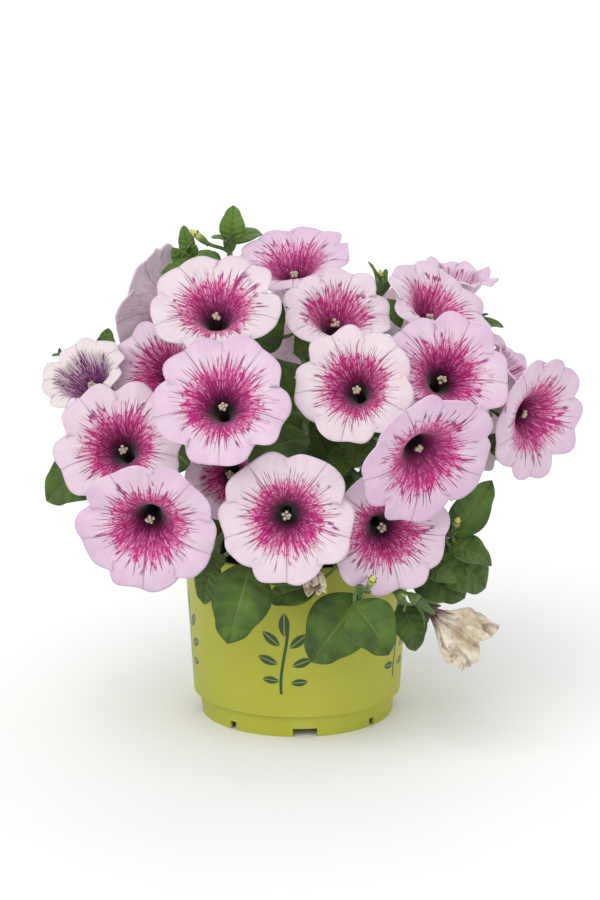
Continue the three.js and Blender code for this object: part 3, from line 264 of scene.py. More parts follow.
# %% [markdown]
# Numbers that the CAD model is driven by, under the names they have there: sizes in
# millimetres, and the shares and angles of the rule that places the leaves.

# %% Driving dimensions
POT_HEIGHT = 95
POT_WALL_FOOT_RADIUS = 56.7
POT_WALL_TOP_RADIUS = 61.4
POT_RIM_RADIUS = 62.6
POT_RIM_DEPTH = 3.8
POT_FOOT_RADIUS = 52.6
POT_FOOT_HEIGHT = 11.2
POT_THICKNESS = 1.4
POT_FLOOR = 5
DISH_RADIUS = 14.4
NOTCH_COUNT = 8
NOTCH_TURN = 4.7
WIDE_NOTCH = 13
NARROW_NOTCH = 4
NOTCH_HEIGHT = 4.6
DRAIN_RADIUS = 4
DRAIN_CIRCLE = 38
SOIL_TOP = 84
STEM_RADIUS = 1.9
PEDICEL_RADIUS = 1.0
TUBE_DEPTH = 29
CUP_HEIGHT = 4
CALYX_GAP = 0.4
STEM_RISE = 5
STEM_STEP = 28
STATIONS_PER_STEP = 8
LEAF_SPACING = 5
GOLDEN_ANGLE = 137.5
STALK_HALF_WIDTH = 0.9
PETAL_CLEARANCE = 3
STEM_CLEARANCE = 4.2
LEAF_CLEARANCE = 5
FACE_CLEARANCE = 45
TUBE_BASE_RADIUS = 2.6
THROAT_RADIUS = 5
THROAT_HEIGHT = -11
FUNNEL_RADIUS = 13
FUNNEL_HEIGHT = 2.6
FOLD_SHARE = 0.7
FOLD_HEIGHT = 8
FOLD_RELIEF = 0.7
RIM_HEIGHT = 9.6
RIM_WAVE = 3
LEAF_LENGTH = 31
LEAF_LENGTH_RANGE = 11
LEAF_STALK = 7
LEAF_STALK_RANGE = 4
LEAF_SHAPE = 0.66
LEAF_SHAPE_RANGE = 0.12
LEAF_TURNS = [0, 30, -30, 60, -60, 95, -95, 140, -140, 180]
LATE_TURN = 5
LATE_SCALE = 0.75
LEAF_OUTWARD = 0.55
LEAF_ARCH = 0.14
LEAF_FOLD = 0.18
DROOP_BELOW = 125
DROOP = -0.4
LIFT = 0.25
DROOP_RANGE = 0.5
DOME_HALF_X = 106
DOME_HALF_Y = 108
DOME_MIDDLE_Y = 4
DOME_MIDDLE_Z = 140
DOME_ABOVE = 96
DOME_BELOW = 115
UP = np.array([0, 0, 1.0])

# %% [markdown]
# A plant looks natural when nothing in it repeats, but each run has to give the same
# plant. The layout draws from a small seeded generator that is the same in the CAD
# model, and the fine detail draws from numpy's, seeded for each piece.

# %% Chance and small vector helpers


def seeded(seed):
    state = seed
    while True:
        state = (state * 1664525 + 1013904223) % 4294967296
        yield state / 4294967296


def vec(point):
    return np.array(point, float)


def unit(v):
    return v / np.linalg.norm(v, axis=-1, keepdims=True)


def smoothstep(x, low, high):
    t = np.clip((x - low) / (high - low), 0, 1)
    return t * t * (3 - 2 * t)


draw = seeded(1)
print("first draws", [round(next(draw), 3) for _ in range(3)])

# %% [markdown]
# Stems are smooth curves through a few points, and flower stalks leave them in one bend.
# Blender has curve objects for this, but worked out in numbers they can also be asked
# for a point, which the leaves and stalks need.

# %% Curves of stems and flower stalks


def catmull_rom(points, t):
    """Points of a smooth curve through the given ones, for t from 0 to 1."""
    p = vec(points)
    p = np.vstack([2 * p[0] - p[1], p, 2 * p[-1] - p[-2]])
    place = np.asarray(t, float) * (len(points) - 1)
    i = np.minimum(place.astype(int), len(points) - 2)
    w = (place - i)[..., None]
    a, b, c, d = p[i], p[i + 1], p[i + 2], p[i + 3]
    start, end = 0.5 * (c - a), 0.5 * (d - b)
    bend = -3 * b + 3 * c - 2 * start - end
    return b + w * (start + w * (bend + w * (2 * b - 2 * c + start + end)))


def arc_lengths(points):
    return np.concatenate([[0], np.cumsum(np.linalg.norm(np.diff(points, axis=0), axis=1))])


def stem_curve(name):
    path = SHOOTS[name][2]
    return [(path[0][0], path[0][1], SOIL_TOP + STEM_RISE), *path[1:]]


def stem_stations(name):
    """Points and directions along the straight stretches of a stem, as in the CAD."""
    table = np.linspace(0, 1, 201)
    lengths = arc_lengths(catmull_rom(stem_curve(name), table))
    steps = math.ceil(lengths[-1] / STEM_STEP)
    t = np.interp(np.linspace(0, lengths[-1], steps + 1), lengths, table)
    corners = catmull_rom(stem_curve(name), t)
    share = np.arange(STATIONS_PER_STEP)[:, None] / STATIONS_PER_STEP
    points = [a + (b - a) * share for a, b in zip(corners, corners[1:])]
    ways = [np.tile(unit(b - a), (STATIONS_PER_STEP, 1)) for a, b in zip(corners, corners[1:])]
    return np.vstack(points), np.vstack(ways)


def nearest(points, point):
    return int(np.argmin(np.linalg.norm(points - point, axis=1)))


def bezier(ends, t):
    t = np.asarray(t, float)[:, None]
    a, b, c, d = ends
    return a * (1 - t) ** 3 + 3 * b * t * (1 - t) ** 2 + 3 * c * t**2 * (1 - t) + d * t**3


def pedicel(stations, end, axis):
    """The four points that shape a flower stalk, from its stem to the bloom's axis."""
    points, ways = (part[STATIONS_PER_STEP:] for part in stations)
    k = nearest(points, end - 14 * axis)
    reach = np.linalg.norm(points[k] - end) * 0.35
    return points[k], points[k] + ways[k] * reach, end - axis * reach, end


stations = {name: stem_stations(name) for name in SHOOTS}
print(sum(len(points) for points, _ in stations.values()), "stations along the stems")

# %% [markdown]
# A bloom's frame has an axis out of its face, one up along it and one to its right. With
# it, a point of the corolla is a radius, an angle and a height over the throat.

# %% Frames of blooms and where the stalks run


class Frame:
    def __init__(self, centre, n, u, r):
        self.centre, self.n, self.u, self.r = centre, n, u, r

    def place(self, radius, degrees, height):
        radius, angle, height = np.broadcast_arrays(radius, np.radians(degrees), height)
        right = (radius * np.cos(angle))[..., None] * self.r
        up = (radius * np.sin(angle))[..., None] * self.u
        return self.centre + right + up + height[..., None] * self.n


def bloom_frame(bloom):
    a, t = math.radians(bloom[2]), math.radians(bloom[3])
    n = vec((math.cos(t) * math.sin(a), -math.cos(t) * math.cos(a), math.sin(t)))
    u = vec((-math.sin(t) * math.sin(a), math.sin(t) * math.cos(a), math.cos(t)))
    return Frame(vec(bloom[1]), n, u, vec((math.cos(a), math.sin(a), 0)))


def wilted_frame(base, end):
    n = unit(vec(end) - base)
    r = unit(np.cross(n, UP))
    return Frame(base + n * (TUBE_DEPTH + CALYX_GAP), n, unit(np.cross(r, n)), r)


bloom_frames = [bloom_frame(bloom) for bloom in BLOOMS]
pedicels = {name: [] for name in SHOOTS}
for bloom, at in zip(BLOOMS, bloom_frames):
    end = at.centre - at.n * (TUBE_DEPTH + 2.5)
    pedicels[bloom[0]].append(pedicel(stations[bloom[0]], end, at.n))
for shoot, base, tip in BUDS:
    end = vec(base) + (vec(tip) - base) * 0.2
    pedicels[shoot].append(pedicel(stations[shoot], end, unit(vec(tip) - base)))
for shoot, base, end, _, _ in WILTED.values():
    axis = unit(vec(end) - base)
    pedicels[shoot].append(pedicel(stations[shoot], vec(base) - axis * 2, axis))
print(sum(map(len, pedicels.values())), "flower stalks")

# %% [markdown]
# A leaf is a pointed oval, folded a little along its midrib and arched. The leaves that
# don't show on the front follow a rule: a golden-angle spiral up each stem, where a leaf
# that would come near a petal, another shoot or the pot turns aside or isn't grown. The
# rule is run again here, so that each fine leaf lies where its CAD leaf lies.

# %% Shape of a leaf


def make_leaf(root, base, tip, face, width):
    base, tip, face = vec(base), vec(tip), vec(face)
    way = unit(tip - base)
    side = unit(np.cross(face, way))
    return {
        "root": root, "base": base, "tip": tip, "width": width,
        "length": np.linalg.norm(tip - base), "side": side, "face": unit(np.cross(way, side)),
    }


def oval_width(t):
    return np.sin(np.pi * t**0.75) ** 0.85


def leaf_point(leaf, t, across):
    half = np.maximum(STALK_HALF_WIDTH, leaf["width"] / 2 * oval_width(np.minimum(t, 0.999)))
    lift = LEAF_ARCH * leaf["length"] * 4 * t * (1 - t) + np.abs(across) * half * LEAF_FOLD
    line = leaf["base"] + (leaf["tip"] - leaf["base"]) * t[..., None]
    return line + leaf["face"] * lift[..., None] + leaf["side"] * (across * half)[..., None]


def leaf_samples(leaf):
    t, across = np.meshgrid(np.arange(8) / 7, np.arange(-2, 3) / 2, indexing="ij")
    return leaf_point(leaf, t, across).reshape(-1, 3)


print("a leaf is widest at", round(float(np.argmax(oval_width(np.linspace(0, 0.99, 100)))), 0), "%")

# %% The rule that keeps leaves clear of petals, stems and the pot
bloom_centres = np.array([at.centre for at in bloom_frames])
bloom_normals = np.array([at.n for at in bloom_frames])
bloom_radii = np.array([bloom[4] for bloom in BLOOMS], float)


def corolla_rows(radius):
    return [
        (TUBE_BASE_RADIUS, -TUBE_DEPTH), (THROAT_RADIUS, THROAT_HEIGHT),
        (FUNNEL_RADIUS, FUNNEL_HEIGHT), (radius * FOLD_SHARE, FOLD_HEIGHT), (radius, RIM_HEIGHT),
    ]


def segment_distance(p, a, b):
    edge = b - a
    t = np.clip(((p - a) * edge).sum(-1) / (edge * edge).sum(-1), 0, 1)
    return np.linalg.norm(p - a - edge * t[..., None], axis=-1)


bloom_rows = np.array([corolla_rows(radius) for radius in bloom_radii])


def near_bloom(points):
    out = points[None] - bloom_centres[:, None]
    height = (out * bloom_normals[:, None]).sum(-1)
    radius = np.sqrt(np.maximum(0, (out * out).sum(-1) - height * height))
    ahead = (height > 0) & (height < FACE_CLEARANCE) & (radius < bloom_radii[:, None])
    if ahead.any():
        return True
    spots = np.stack([radius, height], -1)
    for k in range(4):
        gap = segment_distance(spots, bloom_rows[:, None, k], bloom_rows[:, None, k + 1])
        if (gap < PETAL_CLEARANCE * (2 if k == 0 else 1)).any():
            return True
    return False


def near_pot(p):
    return ((p[:, 2] < POT_HEIGHT + 3) & (np.hypot(p[:, 0], p[:, 1]) < POT_RIM_RADIUS + 2.5)).any()


def outside_dome(p):
    x = p[:, 0] / DOME_HALF_X
    y = (p[:, 1] - DOME_MIDDLE_Y) / DOME_HALF_Y
    z = (p[:, 2] - DOME_MIDDLE_Z) / np.where(p[:, 2] > DOME_MIDDLE_Z, DOME_ABOVE, DOME_BELOW)
    return (x**2 + y**2 + z**2 > 1).any()


# %% Growing the leaves
stalk_lines = [(name, points) for name, (points, _) in stations.items()]
stalk_lines += [
    (name, bezier(ends, np.linspace(0, 1, 11))) for name, each in pedicels.items() for ends in each
]
stalk_from = np.vstack([line[:-1] for _, line in stalk_lines])
stalk_to = np.vstack([line[1:] for _, line in stalk_lines])
stalk_owner = np.concatenate([[name] * (len(line) - 1) for name, line in stalk_lines])
leaves = {name: [] for name in SHOOTS}
grown = []
for shoot, base, tip, face, width in FRONT_LEAVES:
    points = stations[shoot][0]
    leaf = make_leaf(points[nearest(points, vec(base))], base, tip, face, width)
    leaves[shoot].append(leaf)
    grown.append((shoot, leaf_samples(leaf)))


def fits(samples, shoot):
    if near_pot(samples) or outside_dome(samples) or near_bloom(samples):
        return False
    near = np.where(stalk_owner == shoot, STEM_CLEARANCE * 0.6, STEM_CLEARANCE)
    if (segment_distance(samples[:, None], stalk_from, stalk_to) < near).any():
        return False
    for owner, other in grown:
        near = LEAF_CLEARANCE * (0.5 if owner == shoot else 1)
        if (np.linalg.norm(samples[:, None] - other, axis=-1) < near).any():
            return False
    return True


def leaf_try(point, way, turn, attempt, draw):
    side = unit(np.cross(way, vec((1, 0.2, 0.1))))
    other = np.cross(way, side)
    angle = math.radians(turn + LEAF_TURNS[attempt])
    away = unit(vec((point[0], point[1], 0)))
    droop = DROOP if point[2] < DROOP_BELOW else LIFT
    out = side * math.cos(angle) + other * math.sin(angle) + away * LEAF_OUTWARD
    out = unit(out + UP * (droop + (next(draw) - 0.5) * DROOP_RANGE))
    scale = 1 if attempt < LATE_TURN else LATE_SCALE
    length = (LEAF_LENGTH + LEAF_LENGTH_RANGE * next(draw)) * scale
    base = point + out * (LEAF_STALK + LEAF_STALK_RANGE * next(draw))
    width = length * (LEAF_SHAPE + LEAF_SHAPE_RANGE * next(draw))
    return make_leaf(point, base, base + out * length, UP + away * 0.7, width)


def grow_leaves(shoot, seed):
    draw = seeded(seed)
    points, ways = stations[shoot]
    travelled, turn, count = 0, next(draw) * 360, 0
    for k in range(STATIONS_PER_STEP, len(points)):
        if count == SHOOTS[shoot][1]:
            break
        travelled += np.linalg.norm(points[k] - points[k - 1])
        if travelled < LEAF_SPACING:
            continue
        travelled = 0
        turn += GOLDEN_ANGLE
        for attempt in range(len(LEAF_TURNS)):
            leaf = leaf_try(points[k], ways[k], turn, attempt, draw)
            samples = leaf_samples(leaf)
            if fits(samples, shoot):
                leaves[shoot].append(leaf)
                grown.append((shoot, samples))
                count += 1
                break


for index, shoot in enumerate(SHOOTS):
    grow_leaves(shoot, 500 + index * 7)
print(sum(map(len, leaves.values())), "leaves")

# %% [markdown]
# Every piece is collected as plain arrays and becomes one mesh at the end. Each point
# also carries two sets of three numbers for the shaders: "spot" says where it lies on
# its petal, leaf or stem, and "look" says what kind of piece it is on, such as a pink or
# an old one. Shaders that read these don't need an unwrapped surface.

# %% Collecting a piece
MILLIMETRE = 0.001


class Piece:
    """Points, faces and shader numbers of one object, in millimetres."""

    def __init__(self):
        self.points, self.faces, self.finish, self.spot, self.look = [], [], [], [], []
        self.count = 0

    def add(self, points, faces, finish, spot, look):
        points = np.asarray(points, float).reshape(-1, 3)
        faces = np.asarray(faces, int)
        self.points.append(points)
        self.faces.append(faces + self.count)
        self.finish.append(np.broadcast_to(finish, len(faces)))
        self.spot.append(np.broadcast_to(spot, points.shape))
        self.look.append(np.broadcast_to(look, points.shape))
        self.count += len(points)

    def to_object(self, name, materials):
        mesh = bpy.data.meshes.new(name)
        faces = [face for each in self.faces for face in each.tolist()]
        mesh.from_pydata(np.vstack(self.points) * MILLIMETRE, [], faces)
        mesh.polygons.foreach_set("material_index", np.concatenate(self.finish).astype(np.int32))
        mesh.polygons.foreach_set("use_smooth", np.ones(len(faces), bool))
        for key, values in (("spot", self.spot), ("look", self.look)):
            data = mesh.attributes.new(key, "FLOAT_VECTOR", "POINT").data
            data.foreach_set("vector", np.vstack(values).astype(np.float32).ravel())
        for material in materials:
            mesh.materials.append(material)
        mesh.update()
        thing = bpy.data.objects.new(name, mesh)
        bpy.context.scene.collection.objects.link(thing)
        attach(thing, "root")
        return thing


def grid_faces(rows, columns, wrap=False):
    """Four-cornered faces between rows of points; wrap joins the last column to the first."""
    k = np.arange(rows * columns).reshape(rows, columns)
    if wrap:
        k = np.hstack([k, k[:, :1]])
    return np.stack([k[:-1, :-1], k[:-1, 1:], k[1:, 1:], k[1:, :-1]], -1).reshape(-1, 4)


print("one collector for all pieces")

# %% [markdown]
# A petal or leaf is thin but has a real thickness. Blender's Solidify modifier could
# give it; doing it by hand keeps a separate finish for the under side and the rim.

# %% Thin closed shells


def normals_of(points, faces):
    corner = points[faces]
    normal = np.cross(corner[:, 2] - corner[:, 0], corner[:, 3] - corner[:, 1])
    total = np.zeros_like(points)
    for k in range(4):
        np.add.at(total, faces[:, k], normal)
    return total / np.maximum(np.linalg.norm(total, axis=1, keepdims=True), 1e-9)


def rim_edges(faces):
    """The edges that only one face has, in the direction of that face."""
    pairs = np.concatenate([faces[:, [k, (k + 1) % 4]] for k in range(4)])
    size = faces.max() + 1
    there, back = pairs[:, 0] * size + pairs[:, 1], pairs[:, 1] * size + pairs[:, 0]
    return pairs[~np.isin(there, back)]


def add_shell(piece, points, faces, thickness, finishes, spot, look):
    """Adds an open surface as a closed shell: upper side, under side and rim."""
    half = normals_of(points, faces) * thickness / 2
    count = len(points)
    a, b = rim_edges(faces).T
    rim = np.stack([b, a, a + count, b + count], -1)
    every = np.vstack([faces, faces[:, ::-1] + count, rim])
    sides = [finishes[0]] * len(faces) + [finishes[1]] * (len(faces) + len(rim))
    twice = np.vstack([points + half, points - half])
    both = np.vstack([np.broadcast_to(spot, points.shape)] * 2)
    piece.add(twice, every, sides, both, look)


print("shells are ready")

# %% [markdown]
# Stems and stalks are swept tubes. A frame is carried along the curve without twisting,
# and each end is closed.

# %% Swept tubes


def sweep(points, radii, sides=8):
    """Points and faces of a tube along the given points, closed at both ends."""
    points = np.asarray(points, float)
    ways = unit(np.gradient(points, axis=0))
    across = unit(np.cross(ways[0], (0.3, 0.9, 0.2)))
    angle = 2 * np.pi * np.arange(sides) / sides
    rings = []
    for point, way, radius in zip(points, ways, np.broadcast_to(radii, len(points))):
        across = unit(across - way * (across @ way))
        other = np.cross(way, across)
        ring = np.cos(angle)[:, None] * across + np.sin(angle)[:, None] * other
        rings.append(point + radius * ring)
    last = (len(points) - 1) * sides
    faces = [face[::-1] for face in grid_faces(len(points), sides, wrap=True).tolist()]
    for k in range(0, sides, 2):
        nearby = [k, k + 1, (k + 2) % sides]
        faces.append([len(points) * sides, *nearby])
        faces.append([len(points) * sides + 1, *[last + c for c in reversed(nearby)]])
    return np.vstack([*rings, points[0], points[-1]]), np.array(faces)[:, ::-1]


def ball(centre, axis, length, radius):
    """A small oval body, as of an anther."""
    t = np.linspace(0.02, 0.98, 6)
    points = vec(centre) + unit(vec(axis)) * ((t - 0.5) * length)[:, None]
    return sweep(points, radius * np.sqrt(1 - (2 * t - 1) ** 2), 8)


print("a tube of two rings has", len(sweep([(0, 0, 0), (0, 0, 1)], 1)[1]), "faces")

# %% [markdown]
# ## Shader maths
# A pattern such as a net of veins is a formula. Nodes can be wired by hand, but a long
# formula is easier to read as Python, so this class wraps a node's output and turns
# + - * / and ** into Math nodes. All other nodes come from its one method.

# %% A small language for shaders


class Shade:
    """An output inside a material; Python's operators on it add Math nodes."""

    def __init__(self, tree, socket=None):
        self.tree, self.socket = tree, socket

    def node(self, kind, settings=None, sockets=None, output=0):
        """Adds a node: its type, its settings, then the values or links of its sockets."""
        made = self.tree.nodes.new(kind)
        for key, value in (settings or {}).items():
            setattr(made, key, value)
        for key, value in (sockets or {}).items():
            if isinstance(value, Shade):
                self.tree.links.new(value.socket, made.inputs[key])
            else:
                made.inputs[key].default_value = value
        return Shade(self.tree, made.outputs[output])

    def maths(self, operation, *values):
        return self.node("ShaderNodeMath", {"operation": operation}, dict(enumerate(values)))

    def __add__(self, other):
        return self.maths("ADD", self, other)

    def __sub__(self, other):
        return self.maths("SUBTRACT", self, other)

    def __rsub__(self, other):
        return self.maths("SUBTRACT", other, self)

    def __mul__(self, other):
        return self.maths("MULTIPLY", self, other)

    def __truediv__(self, other):
        return self.maths("DIVIDE", self, other)

    def __pow__(self, other):
        return self.maths("POWER", self, other)

    __radd__ = __add__
    __rmul__ = __mul__

    def rise(self, low, high):
        """0 below low, 1 above high, and smooth between."""
        settings = {"interpolation_type": "SMOOTHSTEP"}
        return self.node("ShaderNodeMapRange", settings, {"Value": self, 1: low, 2: high})

    def peak(self, other):
        return self.maths("MAXIMUM", self, other)

    def split(self):
        return [self.node("ShaderNodeSeparateXYZ", None, {0: self}, k) for k in range(3)]

    def noise(self, scale, detail=3, output=0):
        sockets = {"Vector": self, "Scale": scale, "Detail": detail}
        return self.node("ShaderNodeTexNoise", None, sockets, output)

    def blend(self, first, second):
        """Between two colours, by this value."""
        sockets = {0: self, 6: first, 7: second}
        return self.node("ShaderNodeMix", {"data_type": "RGBA"}, sockets, 2)

    def place(self):
        """Where a point is on its own object, in metres."""
        return self.node("ShaderNodeTexCoord", None, None, "Object")


def colour(text):
    """The linear colour of a hex code."""
    parts = [int(text[k:k + 2], 16) / 255 for k in (0, 2, 4)]
    linear = [c / 12.92 if c < 0.04045 else ((c + 0.055) / 1.055) ** 2.4 for c in parts]
    return (*linear, 1)


print("pink is", [round(c, 2) for c in colour("e8cde4")])

# %% Making a finish


def finish(name, paint, constants, bump_distance=MILLIMETRE):
    """A material. paint gets a Shade and returns colour, roughness and height."""
    material = bpy.data.materials.new(name)
    material.use_nodes = True
    tree = material.node_tree
    shader = tree.nodes["Principled BSDF"]
    start = Shade(tree)
    shown, roughness, height = paint(start)
    settings = {"Height": height, "Distance": bump_distance, "Strength": 1.0}
    bump = start.node("ShaderNodeBump", None, settings)
    for key, value in (("Base Color", shown), ("Roughness", roughness), ("Normal", bump)):
        tree.links.new(value.socket, shader.inputs[key])
    for key, value in constants.items():
        shader.inputs[key].default_value = value
    return material


def read(start, key):
    """The three numbers of a point attribute, and the vector itself."""
    settings = {"attribute_name": key, "attribute_type": "GEOMETRY"}
    vector = start.node("ShaderNodeAttribute", settings, None, "Vector")
    return vector, *vector.split()


print("finishes can be made")

# %% [markdown]
# ## Petals
# The corolla is white to pink, with a near-black throat and a lace of magenta veins that
# fades about two thirds of the way out. A photograph of one would be the usual texture.
# Here the lace is a cell pattern instead: the space is pinched towards the throat, so
# the cells come out long and narrow along the radius, and their edges are the veins.
# The broad veins have the stronger pinch of the two, so they run out like rays.

# %% The net of veins
VEIN_PINCH = 0.26
RAY_PINCH = 0.1
BROAD_CELLS = 9.5
FINE_CELLS = 16
HAIR_CELLS = 25
NET_REACH = 0.74
TYPICAL_RADIUS = 32


def polar(start):
    """Radius from 0 to 1, distance to a lobe's midrib in mm, and two pinched places."""
    _, x, y, _ = read(start, "spot")
    _, pink, chance, purple = read(start, "look")
    radius = (x * x + y * y) ** 0.5
    lobe = start.maths("ARCTAN2", y, x) * (5 / (2 * math.pi)) + 5
    rib = start.maths("PINGPONG", lobe, 0.5) * radius * (2 * math.pi / 5 * TYPICAL_RADIUS)
    places = []
    for power in (VEIN_PINCH, RAY_PINCH):
        pinch = radius ** (power - 1)
        sockets = {0: x * pinch, 1: y * pinch, 2: chance * 40}
        places.append(start.node("ShaderNodeCombineXYZ", None, sockets))
    return radius, rib, *places, pink, purple


def cell_lines(place, scale, width):
    """Lines along the edges of cells, made wavy; width is in cells."""
    drift = place.noise(7, 2, "Color")
    sockets = {"Factor": 0.1, 4: place, 5: drift}
    wavy = place.node("ShaderNodeMix", {"data_type": "VECTOR"}, sockets, 1)
    settings = {"feature": "DISTANCE_TO_EDGE"}
    edge = place.node("ShaderNodeTexVoronoi", settings, {"Vector": wavy, "Scale": scale})
    return 1 - edge.rise(width * 0.3, width)


def vein_net(radius, rib, place, rays):
    """How much of a vein there is at each point, from 0 to 1."""
    reach = radius + (0.5 - place.noise(3.2, 2)) * 0.24 + (0.5 - place.noise(12, 1)) * 0.34
    near = 1 - reach.rise(0.2, NET_REACH)
    broad = cell_lines(rays, BROAD_CELLS, near * 0.09 + 0.06)
    fine = cell_lines(place, FINE_CELLS, near * 0.12 + 0.06)
    hair = cell_lines(place, HAIR_CELLS, near * 0.16 + 0.07)
    broad = broad * (1 - reach.rise(NET_REACH - 0.08, NET_REACH + 0.06))
    fine = fine * (1 - reach.rise(NET_REACH - 0.2, NET_REACH - 0.06))
    hair = hair * (1 - reach.rise(NET_REACH - 0.3, NET_REACH - 0.14)) * 0.8
    midrib = (1 - rib.rise(0.1, 0.45)) * (1 - reach.rise(0.6, 0.9))
    return broad.peak(fine).peak(hair).peak(midrib)


print("broad veins around half way out:", round(2 * math.pi * BROAD_CELLS * 0.5**RAY_PINCH))

# %% Face and back of a petal


def paint_petal_face(start):
    radius, rib, place, rays, pink, purple = polar(start)
    cloud, streak = place.noise(4, 3), place.noise(26, 3)
    pale = pink.blend(colour("e0d3d3"), colour("d8b9d3"))
    pale = (streak.rise(0.45, 0.7) * 0.25).blend(pale, colour("c9aabf"))
    pale = (radius.rise(0.6, 1.05) * 0.5 * pink).blend(pale, colour("cda6cb"))
    pale = (cloud.rise(0.4, 0.75) * 0.35).blend(pale, colour("e4d8dc"))
    rib_line = (1 - rib.rise(0.05, 0.35)) * radius.rise(0.4, 0.6) * 0.5
    pale = rib_line.blend(pale, colour("a2809a"))
    wash = 1 - (radius + (cloud - 0.5) * 0.24).rise(0.24, 0.64)
    magenta = purple.blend(colour("dd4aa4"), colour("9a4a9a"))
    washed = (wash * 0.8).blend(pale, magenta)
    net = vein_net(radius, rib, place, rays)
    line = radius.rise(0.25, 0.48).blend(colour("800a54"), colour("b01070"))
    line = radius.rise(0.5, 0.72).blend(line, colour("8f3a78"))
    line = (purple * 0.8).blend(line, colour("572062"))
    veined = net.blend(washed, line)
    shade = (1 - (radius + (cloud - 0.5) * 0.08).rise(0.17, 0.3)) * 0.85
    veined = shade.blend(veined, colour("50093a"))
    dark = 1 - (radius + (cloud - 0.5) * 0.04).rise(0.13, 0.2)
    shown = dark.blend(veined, colour("1a0913"))
    height = net * 0.05 + cloud * 0.2 + streak * 0.07 + rib.rise(0.0, 0.7) * 0.3
    return shown, 0.62 - cloud * 0.15, height


def paint_petal_back(start):
    radius, rib, place, rays, pink, _ = polar(start)
    cloud = place.noise(4, 3)
    pale = pink.blend(colour("efe3e6"), colour("e6cde2"))
    net = vein_net(radius, rib, place, rays)
    veined = (net * 0.28).blend(pale, colour("8c4678"))
    tube = 1 - radius.rise(0.2, 0.55)
    brown = cell_lines(place, BROAD_CELLS, 0.16).blend(colour("b58f9b"), colour("5a2c40"))
    brown = (cloud * 0.5).blend(brown, colour("bba39a"))
    shown = (tube * 0.9).blend(veined, brown)
    rib_line = (1 - rib.rise(0.1, 0.6)) * 0.5
    return rib_line.blend(shown, colour("93797f")), 0.65 - cloud * 0.1, cloud * 0.15 + rib * 0.05


PETAL_LIGHT = {
    "Subsurface Weight": 0.12, "Subsurface Radius": (0.9, 0.5, 0.6), "Subsurface Scale": 0.003,
    "Sheen Weight": 0.25, "Sheen Roughness": 0.4, "Specular IOR Level": 0.3,
}
petal_face = finish("petal_face", paint_petal_face, PETAL_LIGHT)
petal_back = finish("petal_back", paint_petal_back, PETAL_LIGHT)
print("petal nodes:", len(petal_face.node_tree.nodes), len(petal_back.node_tree.nodes))

# %% [markdown]
# Stamens carry cream pollen sacks, and the stigma between them is a green-yellow knob.

# %% Stamens


def paint_pollen(start):
    spot, _, _, _ = read(start, "spot")
    _, sack, _, _ = read(start, "look")
    grain = spot.noise(2.6, 4)
    # painted shade: noise patches blend the cream pollen with a shaded, darker copy of it
    shown = grain.rise(0.35, 0.7).blend(colour("e2d7ba"), colour("a89870"))
    shown = sack.rise(0.2, 0.8).blend(colour("2a1220"), shown)
    return shown, 0.9 - grain * 0.2, grain * 0.5


pollen = finish("pollen", paint_pollen, {"Subsurface Weight": 0.1})
print("pollen nodes:", len(pollen.node_tree.nodes))

# %% [markdown]
# ## The form of a corolla
# Five petals are grown together into a tube that opens into a flat limb. Between two
# lobes the edge is notched, and there one lobe often lies over the next. Each lobe is a
# grid of its own that shares its sides with its neighbours up to the notch, and beyond
# it spreads and overlaps. A sculpted petal could look the same, but a rule can be used
# twenty-seven times without two blooms coming out alike.

# %% Numbers of a corolla
PETAL_THICKNESS = 0.55
LOBE_COLUMNS = 23
PROFILE_ROWS = 28
SPLIT_SHARE = 0.78
LOBE_HALF_ANGLE = 36
PURPLE_BLOOMS = [4]
LOBE_TURN = 72
INNER_PROFILE = [(2.3, -TUBE_DEPTH), (4.7, THROAT_HEIGHT), (12.7, 2.9)]
OUTER_HEIGHTS = (8.4, 9.9)
CREASE_DEPTH = 0.5
CREASE_WIDTH = 2.4
SCALLOP_DEPTH = 0.024


def corolla_profile(radius):
    """Side view of a petal's middle, and how far out on the limb each row is."""
    fold, rim = OUTER_HEIGHTS
    control = [*INNER_PROFILE, (radius * FOLD_SHARE, fold), (radius, rim)]
    line = catmull_rom(control, np.linspace(0, 1, PROFILE_ROWS))
    return line[:, 0], line[:, 1]


def limb_waves(index):
    """Heights of the limb's edge every 18 degrees, the same as in the CAD model."""
    draw = seeded(100 + index)
    waves = [(next(draw) - 0.5) * RIM_WAVE for _ in range(5)]
    return np.array([h for wave in waves for h in (-0.3, 0.3 + wave, -0.9, 0.3 - wave)])


def periodic(values, degrees):
    """Reads values spaced evenly around a circle, with smooth steps between them."""
    place = np.mod(np.asarray(degrees) / 360 * len(values), len(values))
    k = place.astype(int)
    share = smoothstep(place - k, 0, 1)
    return values[k] * (1 - share) + values[(k + 1) % len(values)] * share


print("edge heights of the first bloom:", limb_waves(0).round(1)[:4])

# %% The surface of one lobe


